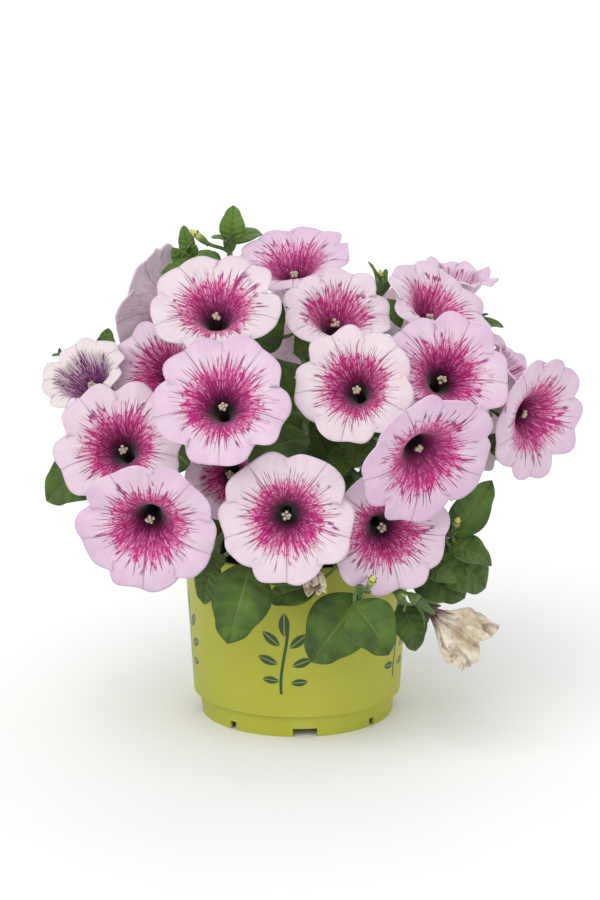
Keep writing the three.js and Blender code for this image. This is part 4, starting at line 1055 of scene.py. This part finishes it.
def lobe_surface(index, bloom, lobe, habit):
    """Rows of points of one lobe, and their shader places."""
    radius = bloom[4]
    out, height = (part[:, None] for part in corolla_profile(radius))
    psi = np.linspace(-1, 1, LOBE_COLUMNS)[None] * LOBE_HALF_ANGLE
    limb = np.clip((out / radius - 0.4) / 0.6, 0, 1)
    beyond = np.clip((out / radius - SPLIT_SHARE) / (1 - SPLIT_SHARE), 0, 1)
    notch = np.where(psi > 0, habit["notch"][lobe], habit["notch"][(lobe - 1) % 5])
    edge = 1 + 0.015 - notch * smoothstep(np.abs(psi), 15, 36) ** 1.6
    edge = edge - habit["tip"][lobe] * np.exp(-((psi / 7) ** 2))
    edge = edge + SCALLOP_DEPTH * np.sin(np.radians(psi) * habit["scallop"][lobe] + habit["phase"][lobe])
    around = lobe * LOBE_TURN + psi
    edge_height = periodic(limb_waves(index), around)
    fold = FOLD_RELIEF * np.cos(np.radians(psi * 5)) * np.sin(np.pi * np.clip(limb, 0, 0.95) ** 0.8)
    crease = -CREASE_DEPTH * np.exp(-((psi / CREASE_WIDTH) ** 2)) * limb
    ruffle = habit["ruffle"] * limb**2 * (
        np.sin(np.radians(around) * habit["waves"] + habit["phase"][0])
        + 0.6 * np.sin(np.radians(around) * (habit["waves"] + 4) + habit["phase"][1])
    )
    over = np.where(psi > 0, habit["over"][lobe], -habit["over"][(lobe - 1) % 5])
    lap = over * beyond * smoothstep(np.abs(psi), 18, 36)
    droop = habit["droop"][lobe] * limb**2 * (1 - (psi / 60) ** 2)
    rise = height + fold + crease + ruffle + edge_height * limb**2 + lap + droop
    spread = psi * (1 + habit["lap"] * beyond**1.5)
    reach = out * (1 - limb**1.5 * (1 - edge))
    angle = bloom[5] - 90 + lobe * LOBE_TURN + spread
    flat = np.radians(around + 0 * out)
    rho = out / radius
    spot = np.stack([rho * np.cos(flat), rho * np.sin(flat), (height + 0 * psi) / 10], -1)
    return reach, angle, rise, spot


def corolla_habit(index):
    """The ways in which one bloom's lobes differ from another's."""
    draw = np.random.default_rng(40 + index)
    return {
        "notch": draw.uniform(0.1, 0.19, 5),
        "tip": draw.uniform(0.0, 0.06, 5),
        "scallop": draw.uniform(6, 13, 5),
        "phase": draw.uniform(0, 6.3, 5),
        "over": draw.choice([-1, 1], 5) * draw.uniform(0.7, 1.1, 5),
        "droop": draw.uniform(-2.4, 1.2, 5),
        "waves": int(draw.integers(7, 10)),
        "ruffle": draw.uniform(0.6, 1.15),
        "lap": draw.uniform(0.09, 0.15),
    }


print("habit of the first bloom:", corolla_habit(0)["notch"].round(2))

# %% Corollas


def add_corolla(piece, index, bloom):
    at = bloom_frames[index]
    habit = corolla_habit(index)
    count = PROFILE_ROWS * LOBE_COLUMNS
    parts = [lobe_surface(index, bloom, lobe, habit) for lobe in range(5)]
    points = np.vstack([at.place(*part[:3]).reshape(-1, 3) for part in parts])
    spots = np.vstack([part[3].reshape(-1, 3) for part in parts])
    faces = np.vstack([grid_faces(PROFILE_ROWS, LOBE_COLUMNS) + lobe * count for lobe in range(5)])
    out = corolla_profile(bloom[4])[0] / bloom[4]
    shared = np.flatnonzero(out < SPLIT_SHARE)
    same = np.arange(5 * count)
    for lobe in range(5):
        left = lobe * count + shared * LOBE_COLUMNS
        right = ((lobe - 1) % 5) * count + shared * LOBE_COLUMNS + LOBE_COLUMNS - 1
        same[left] = right
    kept, faces = np.unique(same[faces], return_inverse=True)
    look = (bloom[6], (index * 0.37) % 1, 1.0 if index in PURPLE_BLOOMS else 0.0)
    faces = faces.reshape(-1, 4)[:, ::-1]
    facing = normals_of(points[kept], faces) @ at.n
    if facing.sum() < 0:
        faces = faces[:, ::-1]
    add_shell(piece, points[kept], faces, PETAL_THICKNESS, (0, 1), spots[kept], look)


FILAMENT_RADIUS = 0.32
STYLE_RADIUS = 0.4


def add_stamens(piece, index, bloom):
    at = bloom_frames[index]
    draw = np.random.default_rng(900 + index)
    for k in range(5):
        angle = bloom[5] + 20 + LOBE_TURN * k
        top = draw.uniform(-2.4, 0.2)
        out = draw.uniform(1.2, 1.9)
        path = [at.place(1.5, angle, -20), at.place(1.3, angle, -10), at.place(out, angle, top)]
        line = catmull_rom(path, np.linspace(0, 1, 7))
        piece.add(*sweep(line, FILAMENT_RADIUS, 6), 2, (0, 0, 0), (0, 0, 0))
        points, faces = ball(line[-1], at.n + at.r * 0.4, 2.4, 0.95)
        piece.add(points, faces, 2, points, (1, 0, 0))
    line = [at.place(0, 0, -24), at.place(0.2, 0, -10), at.place(0.3, 0, -0.5)]
    style = catmull_rom(line, np.linspace(0, 1, 7))
    piece.add(*sweep(style, STYLE_RADIUS, 6), 2, (0, 0, 0), (0, 0, 0))
    points, faces = ball(line[-1], at.n, 1.8, 1.1)
    piece.add(points, faces, 2, points, (0.6, 0, 0))


def make_bloom(index, bloom):
    piece = Piece()
    add_corolla(piece, index, bloom)
    add_stamens(piece, index, bloom)
    name = f"corolla_{index + 1:02d}"
    made = piece.to_object(name, [petal_face, petal_back, pollen])
    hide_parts(f"bloom_{index + 1:02d}")
    return len(made.data.polygons)


print("faces of the blooms:", sum(make_bloom(k, bloom) for k, bloom in enumerate(BLOOMS)))

# %% [markdown]
# ## Leaves and stems
# Petunia leaves are soft and a little sticky, mid green with a paler midrib and sunken
# side veins; young ones are yellower. Stems are pale green and covered in fine hairs.

# %% Finishes of the green parts


VEIN_ROWS = 6.5
VEIN_SLANT = 0.85


def leaf_ribs(start):
    """Midrib and side veins of a leaf, its mottling, how young it is and its lit middle."""
    _, t, across, _ = read(start, "spot")
    _, young, _, _ = read(start, "look")
    side = start.maths("ABSOLUTE", across)
    midrib = 1 - side.rise(0.0, 0.09)
    step = start.maths("PINGPONG", t * VEIN_ROWS - side * VEIN_SLANT + 4, 0.5)
    veins = (1 - step.rise(0.0, 0.09)) * (1 - side.rise(0.75, 1.0))
    place = start.place()
    # painted light: a lighter, patchy middle that stands in for light falling on the leaf's centre
    centre = (1 - side.rise(0.05, 0.95)) * place.noise(45, 2).rise(0.35, 0.65)
    return midrib, veins, step, place.noise(90, 4), place.noise(900, 3), young, centre


def paint_leaf_face(start):
    midrib, veins, step, mottle, pores, young, centre = leaf_ribs(start)
    green = mottle.rise(0.3, 0.7).blend(colour("2c4510"), colour("49681b"))
    # painted light: the middle of the leaf is blended towards a paler green, as if lit
    green = (centre * 0.55).blend(green, colour("58762a"))
    green = (young * 0.6).blend(green, colour("638a2e"))
    green = (veins * 0.14).blend(green, colour("6c8644"))
    green = (midrib * 0.4).blend(green, colour("7d9552"))
    height = step * 0.8 - midrib * 0.5 + pores * 0.12 + mottle * 0.3
    return green, 0.5 + pores * 0.2, height


def paint_leaf_back(start):
    midrib, veins, _, mottle, pores, _, _ = leaf_ribs(start)
    green = mottle.rise(0.3, 0.7).blend(colour("4a6634"), colour("5f7b45"))
    green = (veins.peak(midrib) * 0.5).blend(green, colour("829b66"))
    return green, 0.6 + pores * 0.2, veins * 0.5 + midrib + pores * 0.15


def paint_stem(start):
    place = start.place()
    _, along, bud, _ = read(start, "spot")
    mottle = place.noise(120, 4)
    fuzz = place.noise(1600, 2)
    green = mottle.rise(0.3, 0.7).blend(colour("455f2a"), colour("6a8646"))
    green = (along.rise(0.2, 1.0) * 0.4).blend(green, colour("7c9850"))
    green = fuzz.rise(0.55, 0.8).blend(green, colour("93aa70"))
    green = bud.rise(0.3, 0.75).blend(green, colour("cfc765"))
    return green, 0.75 - mottle * 0.2, fuzz * 0.3 + mottle * 0.3


LEAF_LIGHT = {
    "Subsurface Weight": 0.08, "Subsurface Radius": (0.5, 0.9, 0.2), "Subsurface Scale": 0.002,
    "Sheen Weight": 0.12, "Sheen Roughness": 0.5, "Specular IOR Level": 0.35,
}
leaf_face = finish("leaf_face", paint_leaf_face, LEAF_LIGHT)
leaf_back = finish("leaf_back", paint_leaf_back, LEAF_LIGHT)
stem_green = finish("stem_green", paint_stem, LEAF_LIGHT)
print("leaf nodes:", len(leaf_face.node_tree.nodes))

# %% [markdown]
# A fine leaf takes its outline, arch and fold from the CAD leaf. It is a little blunter
# at the tip, and adds bulges between the side veins, a groove along the midrib and a
# gentle ripple at the edge.

# %% Fine leaves
LEAF_ROWS = 25
LEAF_COLUMNS = 13
LEAF_THICKNESS = 0.6
LEAF_BLUNT = 0.45
LEAF_BULGE = 0.45
LEAF_GROOVE = 0.8
LEAF_RIPPLE = 1.1
LEAF_CURL = 2.2
USUAL_LEAF_WIDTH = 30


def add_leaf(piece, leaf, chance, young, rows=LEAF_ROWS, columns=LEAF_COLUMNS):
    t = np.linspace(0, 1, rows)[:, None] + np.zeros(columns)
    across = np.linspace(-1, 1, columns) + np.zeros((rows, 1))
    taper = smoothstep(1 - t, 0, 0.04)
    narrow = np.where(t > 0.9, taper * 0.98 + 0.02, 1)
    blunt = 1 + LEAF_BLUNT * smoothstep(t, 0.72, 0.94)
    points = leaf_point(leaf, t, across * narrow * blunt)
    size = leaf["width"] / USUAL_LEAF_WIDTH
    rows_of_veins = t * VEIN_ROWS - np.abs(across) * VEIN_SLANT
    bulge = LEAF_BULGE * size * np.sin(np.pi * rows_of_veins) ** 2
    bulge = bulge * (1 - np.abs(across) ** 3) * np.sin(np.pi * t)
    groove = -LEAF_GROOVE * size * np.exp(-((across / 0.12) ** 2))
    wave = np.sin(t * (9 + 3 * chance) + 6 * chance + across * 1.5)
    ripple = LEAF_RIPPLE * size * across**2 * wave
    curl = -LEAF_CURL * size * t**3
    lift = (bulge + groove + ripple * np.sin(np.pi * t) + curl)[..., None]
    points = (points + leaf["face"] * lift).reshape(-1, 3)
    faces = grid_faces(rows, columns)
    if normals_of(points, faces).sum(0) @ leaf["face"] < 0:
        faces = faces[:, ::-1]
    spot = np.stack([t, across, t * 0 + chance], -1).reshape(-1, 3)
    add_shell(piece, points, faces, LEAF_THICKNESS, (1, 2), spot, (young, chance, 0))


def add_stalk(piece, leaf, young):
    middle = (leaf["root"] + leaf["base"]) / 2 - leaf["face"] * 0.6
    into = leaf["base"] + unit(leaf["tip"] - leaf["base"]) * 2
    line = catmull_rom([leaf["root"], middle, into], np.linspace(0, 1, 8))
    piece.add(*sweep(line, np.linspace(1.1, 0.8, 8)), 0, (0.6, 0, 0), (young, 0, 0))


print("faces of a fine leaf:", 2 * (LEAF_ROWS - 1) * (LEAF_COLUMNS - 1))

# %% [markdown]
# The calyx holds the corolla's tube: a short cup that splits into five narrow sepals.
# A bud is a small closed calyx with the folded corolla's tip showing.

# %% Calyces, buds and young tips
SEPAL_WIDTH = 4.2
SEPAL_OUT = 9
SEPAL_LENGTH = 12.5
BUD_RADIUS = 2.1
BUD_SEPAL_WIDTH = 1.8
TIP_OPENING = 0.08
TIP_SHORTEST = 0.75
TIP_GROWTH = 0.05
TIP_FORMS = {
    "bare": (0, 0, 0, 0), "small": (2, 11, 5, 0.35), "leafy": (3, 14, 7, 0.35),
    "narrow": (7, 20, 5, 0.45),
}


def add_calyx(piece, at, turn, scale):
    top = -TUBE_DEPTH - CALYX_GAP
    heights = top + np.array([-CUP_HEIGHT - 1.2, -CUP_HEIGHT, -CUP_HEIGHT / 2, 0, 1.5])
    line = [at.place(0, 0, height) for height in heights]
    cup = np.array([0.9, 1.5, 2.6, 3.3, 3.1]) * scale
    piece.add(*sweep(line, cup, 10), 0, (0.8, 0, 0), (0.3, 0, 0))
    for k in range(5):
        angle = turn + LOBE_TURN * k
        tip = at.place(SEPAL_OUT * scale, angle, top + SEPAL_LENGTH * scale)
        base = at.place(2.6 * scale, angle, top - 1)
        face = at.n * 0.6 - (at.place(1, angle, 0) - at.centre)
        sepal = make_leaf(None, base, tip, face, SEPAL_WIDTH * scale)
        add_leaf(piece, sepal, k / 5, 0.35, 9, 5)


def add_bud(piece, base, tip):
    base, tip = vec(base), vec(tip)
    axis = unit(tip - base)
    t = np.linspace(0, 1, 12)
    shape = BUD_RADIUS * np.sin(np.pi * np.clip(t * 0.86 + 0.1, 0, 1)) ** 0.8
    line = base + (tip - base) * t[:, None]
    points, faces = sweep(line, shape, 10)
    ripe = np.concatenate([np.repeat(t, 10), [0, 1]])
    piece.add(points, faces, 0, np.stack([ripe, ripe, ripe], -1), (1, 0, 0))
    side = unit(np.cross(axis, (0.2, 0.5, 0.8)))
    other = np.cross(axis, side)
    for k in range(5):
        angle = math.radians(LOBE_TURN * k)
        out = side * math.cos(angle) + other * math.sin(angle)
        length = np.linalg.norm(tip - base) * 0.75
        top = base + axis * length + out * 2.4
        sepal = make_leaf(None, base + out, top, axis * 0.3 - out, BUD_SEPAL_WIDTH)
        add_leaf(piece, sepal, k / 5, 0.5, 7, 5)


def add_tip_leaves(piece, shoot):
    count, length, width, spread = TIP_FORMS[SHOOTS[shoot][0]]
    way = stations[shoot][1][-1]
    point = stations[shoot][0][-1]
    side = unit(np.cross(way, (0, 1, 0)))
    other = np.cross(way, side)
    for k in range(count):
        angle = math.radians(k * GOLDEN_ANGLE)
        out = side * math.cos(angle) + other * math.sin(angle)
        reach = length * (TIP_SHORTEST + TIP_GROWTH * k)
        tip = point + unit(way + out * (spread + TIP_OPENING * k)) * reach
        leaf = make_leaf(None, point - way * 1.5, tip, way - out * 0.5, width)
        add_leaf(piece, leaf, k / 7, 0.8, 13, 7)


print("tips:", {name: form[0] for name, form in TIP_FORMS.items()})

# %% Hairs
HAIR_LENGTH = 0.9
HAIR_WIDTH = 0.06
STEM_HAIRS = 400
STALK_HAIRS = 120


def add_hairs(piece, line, radius, count, draw):
    """Thin spikes that stand out of a stem, each a closed four-faced sliver."""
    place = draw.uniform(0, len(line) - 1.001, count)
    k = place.astype(int)
    foot = line[k] + (line[k + 1] - line[k]) * (place - k)[:, None]
    way = unit(line[k + 1] - line[k])
    out = unit(np.cross(way, draw.normal(size=(count, 3))))
    side = np.cross(way, out)
    foot = foot + out * radius * 0.8
    tips = foot + (out + way * draw.uniform(-0.3, 0.3, (count, 1))) * HAIR_LENGTH
    corners = [foot + side * HAIR_WIDTH, foot - side * HAIR_WIDTH, foot + way * HAIR_WIDTH, tips]
    points = np.stack(corners, 1).reshape(-1, 3)
    faces = np.array([(0, 1, 3), (1, 2, 3), (2, 0, 3), (0, 2, 1)])
    faces = (faces[None] + 4 * np.arange(count)[:, None, None]).reshape(-1, 3)
    piece.add(points, faces, 0, (1, 0, 0), (1, 0, 0))


print("hairs are", HAIR_LENGTH, "mm long")

# %% Shoots


def make_shoot(index, shoot):
    piece = Piece()
    draw = np.random.default_rng(300 + index)
    path = SHOOTS[shoot][2]
    line = catmull_rom(stem_curve(shoot), np.linspace(0, 1, 40))
    foot = vec((path[0][0], path[0][1], SOIL_TOP - 8))
    line = np.vstack([foot, foot + UP * 6, line])
    thickness = np.linspace(STEM_RADIUS * 1.1, STEM_RADIUS * 0.8, len(line))
    piece.add(*sweep(line, thickness, 10), 0, (0.2, 0, 0), (0.1, 0, 0))
    add_hairs(piece, line[8:], STEM_RADIUS, STEM_HAIRS, draw)
    for ends in pedicels[shoot]:
        stalk = bezier(ends, np.linspace(0, 1, 20))
        piece.add(*sweep(stalk, PEDICEL_RADIUS, 8), 0, (0.6, 0, 0), (0.3, 0, 0))
        add_hairs(piece, stalk, PEDICEL_RADIUS, STALK_HAIRS, draw)
    for bloom, at in zip(BLOOMS, bloom_frames):
        if bloom[0] == shoot:
            add_calyx(piece, at, bloom[5], 1)
    for owner, base, end, _, spread in WILTED.values():
        if owner == shoot:
            add_calyx(piece, wilted_frame(vec(base), end), 20, spread / 16 + 0.25)
    for owner, base, tip in BUDS:
        if owner == shoot:
            add_bud(piece, base, tip)
    add_tip_leaves(piece, shoot)
    for leaf in leaves[shoot]:
        young = float(np.clip((leaf["base"][2] - 190) / 70, 0, 1)) * (leaf["width"] < 18)
        chance = draw.uniform(0, 1)
        add_leaf(piece, leaf, chance, max(young, 0.1 * chance))
        add_stalk(piece, leaf, young)
    made = piece.to_object("foliage_" + shoot, [stem_green, leaf_face, leaf_back])
    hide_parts("shoot_" + shoot)
    return len(made.data.polygons)


print("faces of the shoots:", sum(make_shoot(k, shoot) for k, shoot in enumerate(SHOOTS)))

# %% [markdown]
# ## Withered blooms
# A petunia drops its corolla a few days after it opens: the tube turns brown-purple and
# the limb dries to crumpled cream paper. Cloth simulation could crumple it; here pleats
# and seeded bumps do, in the same ring-by-ring order as in the CAD model.

# %% Withered blooms


def paint_withered(start):
    spot, _, along, _ = read(start, "spot")
    place = start.place()
    blotch, streak = place.noise(110, 5), spot.noise(3.2, 4)
    paper = blotch.rise(0.35, 0.65).blend(colour("e6dcc4"), colour("c6b294"))
    paper = place.noise(260, 3).rise(0.55, 0.75).blend(paper, colour("a07c76"))
    paper = (streak.rise(0.5, 0.68) * 0.55).blend(paper, colour("94706c"))
    brown = blotch.rise(0.4, 0.7).blend(colour("4f2c38"), colour("84606a"))
    ragged = along + (streak - 0.5) * 0.5
    shown = ragged.rise(0.36, 0.62).blend(brown, paper)
    return shown, 0.85 - blotch * 0.1, blotch * 0.8 + streak * 0.6


withered = finish("withered_petal", paint_withered, {"Subsurface Weight": 0.1})
WILTED_COLUMNS = 72
WILTED_ROWS = 36
WILTED_THICKNESS = 0.5
WILTED_PLEAT = 0.34
CRUMPLE_WAVES = 12


def make_wilted(index, name):
    _, base, end, tube, spread = WILTED[name]
    at = wilted_frame(vec(base), end)
    length = np.linalg.norm(vec(end) - base)
    draw = np.random.default_rng(70 + index)
    control = [
        (spread * 0.18, 0), (spread * 0.22, tube * 0.6), (spread * 0.42, tube),
        (spread * 0.85, (tube + length) / 2), (spread * 0.9, length),
    ]
    t = np.linspace(0, 1, WILTED_ROWS)
    radius, height = (part[:, None] for part in catmull_rom(control, t).T)
    degrees = np.arange(WILTED_COLUMNS) * 360 / WILTED_COLUMNS
    angle = np.radians(degrees)[None]
    limb = smoothstep(t, 0.35, 0.75)[:, None]
    pleat = WILTED_PLEAT * np.cos(4.5 * angle + 0.8 * np.sin(angle + 3 * t[:, None]))
    crumple = 0
    for _ in range(CRUMPLE_WAVES):
        wave = draw.integers(2, 15) * angle + draw.uniform(3, 16) * t[:, None] + draw.uniform(0, 6)
        crumple = crumple + draw.uniform(0.03, 0.09) * np.sin(wave)
    radius = radius * (1 + limb * (np.abs(pleat) * 2 - 0.3 + crumple))
    ragged = limb**2 * spread * 0.32 * np.sin(5 * angle + draw.uniform(0, 6)) * np.cos(2 * angle)
    points = at.place(radius, degrees, height + ragged + crumple * limb * spread * 0.6 - TUBE_DEPTH)
    faces = grid_faces(WILTED_ROWS, WILTED_COLUMNS, wrap=True)
    around = np.tile(np.stack([np.cos(angle[0]), 0 * angle[0], np.sin(angle[0])], -1), (WILTED_ROWS, 1))
    spot = 3 * around + np.repeat(np.stack([0 * t, t, 0 * t], -1), WILTED_COLUMNS, axis=0)
    piece = Piece()
    add_shell(piece, points.reshape(-1, 3), faces, WILTED_THICKNESS, (0, 0), spot, (0, 0, 0))
    made = piece.to_object("crumpled_" + name.split("_")[1], [withered])
    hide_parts(name)
    return len(made.data.polygons)


print("faces of the withered blooms:", [make_wilted(k, name) for k, name in enumerate(WILTED)])

# %% [markdown]
# ## Pot
# The pot is thin moulded plastic: a tapered wall with a rim bead, a step over the foot
# ring, and notches in the foot so that water drains. It is turned from a profile whose
# corners are rounded, and the notches and drain holes are cut with a Boolean modifier.

# %% The turned wall
POT_COLUMNS = 160
CORNER_RADIUS = 0.5


def pot_profile():
    wall_inside = POT_WALL_FOOT_RADIUS - POT_THICKNESS
    foot_inside = POT_FOOT_RADIUS - POT_THICKNESS
    floor_top = POT_FLOOR + POT_THICKNESS
    return vec([
        (1, 0), (DISH_RADIUS, 0), (DISH_RADIUS + 2, POT_FLOOR), (foot_inside, POT_FLOOR),
        (foot_inside, 0), (POT_FOOT_RADIUS, 0), (POT_FOOT_RADIUS + 0.6, POT_FOOT_HEIGHT),
        (POT_WALL_FOOT_RADIUS, POT_FOOT_HEIGHT + 1),
        (POT_WALL_TOP_RADIUS, POT_HEIGHT - POT_RIM_DEPTH),
        (POT_RIM_RADIUS, POT_HEIGHT - POT_RIM_DEPTH + 0.4), (POT_RIM_RADIUS, POT_HEIGHT),
        (POT_WALL_TOP_RADIUS - POT_THICKNESS + 0.4, POT_HEIGHT),
        (wall_inside, POT_FOOT_HEIGHT + 2.4), (foot_inside + 0.6, POT_FOOT_HEIGHT + 1.2),
        (foot_inside, floor_top), (DISH_RADIUS + 0.6, floor_top),
        (DISH_RADIUS - 1.4, POT_THICKNESS), (1, POT_THICKNESS),
    ])


def rounded(profile, radius):
    """The same side view with every inner corner cut back to a small curve."""
    line = [profile[0]]
    for before, corner, after in zip(profile, profile[1:], profile[2:]):
        back, ahead = before - corner, after - corner
        a = corner + back * min(radius / np.linalg.norm(back), 0.4)
        b = corner + ahead * min(radius / np.linalg.norm(ahead), 0.4)
        line += [a, (a + b + 2 * corner) / 4, b]
    return np.array([*line, profile[-1]])


def turned(profile):
    angle = 2 * np.pi * np.arange(POT_COLUMNS) / POT_COLUMNS
    ring = np.stack([np.cos(angle), np.sin(angle)], -1)
    points = np.array([[(x * r, y * r, z) for x, y in ring] for r, z in profile])
    faces = grid_faces(len(profile), POT_COLUMNS, wrap=True).tolist()
    last = (len(profile) - 1) * POT_COLUMNS
    faces.append(list(range(POT_COLUMNS))[::-1])
    faces.append([last + k for k in range(POT_COLUMNS)])
    return points.reshape(-1, 3), faces


print("rows of the pot's side view:", len(rounded(pot_profile(), CORNER_RADIUS)))

# %% Cutting the notches and drain holes


def cutter(points, faces):
    mesh = bpy.data.meshes.new("cutter")
    mesh.from_pydata((vec(points) * MILLIMETRE).tolist(), [], faces)
    thing = bpy.data.objects.new("cutter", mesh)
    bpy.context.scene.collection.objects.link(thing)
    return thing


def prism(outline, low, high, turn):
    """A cutting block: an outline in plan, turned about the pot's axis."""
    c, s = math.cos(math.radians(turn)), math.sin(math.radians(turn))
    plan = [(x * c - y * s, x * s + y * c) for x, y in outline]
    count = len(plan)
    points = [(x, y, low) for x, y in plan] + [(x, y, high) for x, y in plan]
    faces = [(k, (k + 1) % count, count + (k + 1) % count, count + k) for k in range(count)]
    return cutter(points, [list(range(count))[::-1], list(range(count, 2 * count)), *faces])


def notch(turn, width):
    x = width / 2
    outer, inner = -POT_FOOT_RADIUS - 3, -POT_FOOT_RADIUS + 3
    outline = [(-x, outer), (x, outer), (x, inner), (-x, inner)]
    return prism(outline, -1, NOTCH_HEIGHT, turn)


def drain(turn):
    angles = np.radians(np.arange(0, 360, 15))
    outline = [(DRAIN_RADIUS * math.cos(a), DRAIN_RADIUS * math.sin(a) - DRAIN_CIRCLE) for a in angles]
    return prism(outline, POT_FLOOR - 2, POT_FLOOR + POT_THICKNESS + 2, turn)


def cut(thing, tools):
    for tool in tools:
        knife = thing.modifiers.new("cut", "BOOLEAN")
        knife.operation = "DIFFERENCE"
        knife.object = tool
    graph = bpy.context.evaluated_depsgraph_get()
    mesh = bpy.data.meshes.new_from_object(thing.evaluated_get(graph))
    thing.modifiers.clear()
    thing.data = mesh
    for tool in tools:
        bpy.data.objects.remove(tool)


print("cutting tools are ready")

# %% [markdown]
# The plastic is lime green with a soft sheen. A simple dark green sprig is printed
# around the wall: a bent stem with pairs of leaves, each an oval worked out from the
# angle around the pot and the height.

# %% Finish of the pot
SPRIG_COUNT = 5
SPRIG_TURN = 0.09
SPRIG_HEIGHT = 47
SPRIG_LEAVES = [
    (0, 17, 90, 7), (-7, 9, 140, 6.4), (7.5, 8, 40, 6.4), (-9, -3, 160, 6), (9.5, -4, 20, 6),
    (-7.5, -14, 175, 5), (8, -15, 5, 5),
]
MEAN_RADIUS = 59


def sprig(start):
    """1 where the printed sprig is, 0 elsewhere."""
    x, y, z = (part * (1 / MILLIMETRE) for part in start.place().split())
    around = start.maths("ARCTAN2", x, y * -1) * (SPRIG_COUNT / (2 * math.pi)) + SPRIG_TURN
    across = around - start.maths("FLOOR", around + 0.5)
    across = across * (2 * math.pi * MEAN_RADIUS / SPRIG_COUNT)
    up = z - SPRIG_HEIGHT
    bend = start.maths("SINE", up * 0.09) * 2
    stem = 1 - start.maths("ABSOLUTE", across - bend).rise(0.7, 0.95)
    shown = stem * (1 - start.maths("ABSOLUTE", up + 3).rise(18.6, 19))
    for dx, dy, degrees, half in SPRIG_LEAVES:
        c, s = math.cos(math.radians(degrees)), math.sin(math.radians(degrees))
        right, above = across - dx, up - dy
        along = (right * c + above * s) / half
        side = (above * c - right * s) / (half * 0.42)
        body = side * side / (1.02 - along * along).peak(0.02) + along * along
        leaf = 1 - body.rise(0.92, 1.0)
        leaf = leaf * start.maths("ABSOLUTE", side).rise(0.04, 0.1)
        shown = shown.peak(leaf)
    return shown


def paint_pot(start):
    place = start.place()
    cloud, grain, scuff = place.noise(14, 3), place.noise(2600, 2), place.noise(60, 6)
    lime = cloud.rise(0.3, 0.7).blend(colour("aaab30"), colour("b4b53c"))
    worn = scuff.rise(0.62, 0.72) * 0.25
    lime = worn.blend(lime, colour("bfc070"))
    printed = sprig(start)
    shown = (printed * 0.96).blend(lime, colour("17472a"))
    return shown, 0.42 + scuff * 0.16 - printed * 0.08, grain * 0.05 + scuff * 0.05


pot_plastic = finish("pot_plastic", paint_pot, {"Specular IOR Level": 0.45})
print("pot nodes:", len(pot_plastic.node_tree.nodes))

# %% The pot
SHARP_DEGREES = 40


def make_pot():
    points, faces = turned(rounded(pot_profile(), CORNER_RADIUS))
    pot = cutter(points, faces)
    pot.name = "plastic_pot"
    tools = []
    for k in range(NOTCH_COUNT):
        turn = NOTCH_TURN + k * 360 / NOTCH_COUNT
        tools.append(notch(turn, NARROW_NOTCH if k % 2 else WIDE_NOTCH))
        if k % 2 == 0:
            tools.append(drain(turn + 180 / NOTCH_COUNT))
    cut(pot, tools)
    pot.data.materials.append(pot_plastic)
    pot.data.shade_smooth()
    pot.data.set_sharp_from_angle(angle=math.radians(SHARP_DEGREES))
    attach(pot, "root")
    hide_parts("pot")
    return pot


print("faces of the pot:", len(make_pot().data.polygons))

# %% [markdown]
# ## Soil
# Potting soil is dark, moist peat with crumbs and fibres. Its top is a plate of points
# raised by layered noise, with loose crumbs on it, and its sides follow the pot's wall.

# %% Soil
SOIL_GAP = 0.5
SOIL_COLUMNS = 96
SOIL_ROWS = 40
SOIL_ROUGHNESS = 0.16
CRUMB_COUNT = 260


def paint_soil(start):
    place = start.place()
    clump, grit = place.noise(160, 5), place.noise(900, 4)
    shown = clump.rise(0.35, 0.65).blend(colour("1d130c"), colour("3d2a1b"))
    shown = grit.rise(0.66, 0.72).blend(shown, colour("8c7a64"))
    return shown, 0.95 - clump * 0.2, clump + grit * 0.5


soil_finish = finish("potting_soil", paint_soil, {"Specular IOR Level": 0.3})


def make_soil():
    draw = np.random.default_rng(5)
    bottom = POT_FLOOR + POT_THICKNESS + SOIL_GAP
    foot = POT_FOOT_RADIUS - POT_THICKNESS - SOIL_GAP
    wall = POT_WALL_FOOT_RADIUS - POT_THICKNESS - SOIL_GAP
    slope = (POT_WALL_TOP_RADIUS - POT_WALL_FOOT_RADIUS) / (POT_HEIGHT - POT_FOOT_HEIGHT)
    top = wall + slope * (SOIL_TOP - POT_FOOT_HEIGHT - 5.5)
    side = [(0.5, bottom), (foot, bottom), (foot, POT_FOOT_HEIGHT + 1), (wall, POT_FOOT_HEIGHT + 5.5)]
    plate = [(r, SOIL_TOP - 0.6) for r in np.linspace(top, 0.5, SOIL_ROWS)]
    angle = 2 * np.pi * np.arange(SOIL_COLUMNS) / SOIL_COLUMNS
    rows = np.array([[(r * math.cos(a), r * math.sin(a), z) for a in angle] for r, z in side + plate])
    flat = rows[len(side) + 1:]
    for scale in (9, 4, 2):
        waves = draw.normal(size=(6, 2)) / scale
        phase = draw.uniform(0, 6, 6)
        for wave, start in zip(waves, phase):
            flat[..., 2] += 0.05 * scale**0.5 * np.sin(flat[..., :2] @ wave * 6 + start)
    flat[..., 2] += draw.normal(scale=SOIL_ROUGHNESS, size=flat.shape[:2])
    piece = Piece()
    faces = grid_faces(len(rows), SOIL_COLUMNS, wrap=True)
    piece.add(rows, faces, 0, (0, 0, 0), (0, 0, 0))
    for _ in range(CRUMB_COUNT):
        a, r = draw.uniform(0, 2 * math.pi), (top - 2) * draw.uniform(0, 1) ** 0.5
        at = (r * math.cos(a), r * math.sin(a), SOIL_TOP - 0.3)
        size = draw.uniform(0.5, 1.4)
        piece.add(*ball(at, draw.normal(size=3), size * 2.4, size), 0, (0, 0, 0), (0, 0, 0))
    made = piece.to_object("potting_mix", [soil_finish])
    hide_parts("soil")
    return len(made.data.polygons)


print("faces of the soil:", make_soil())
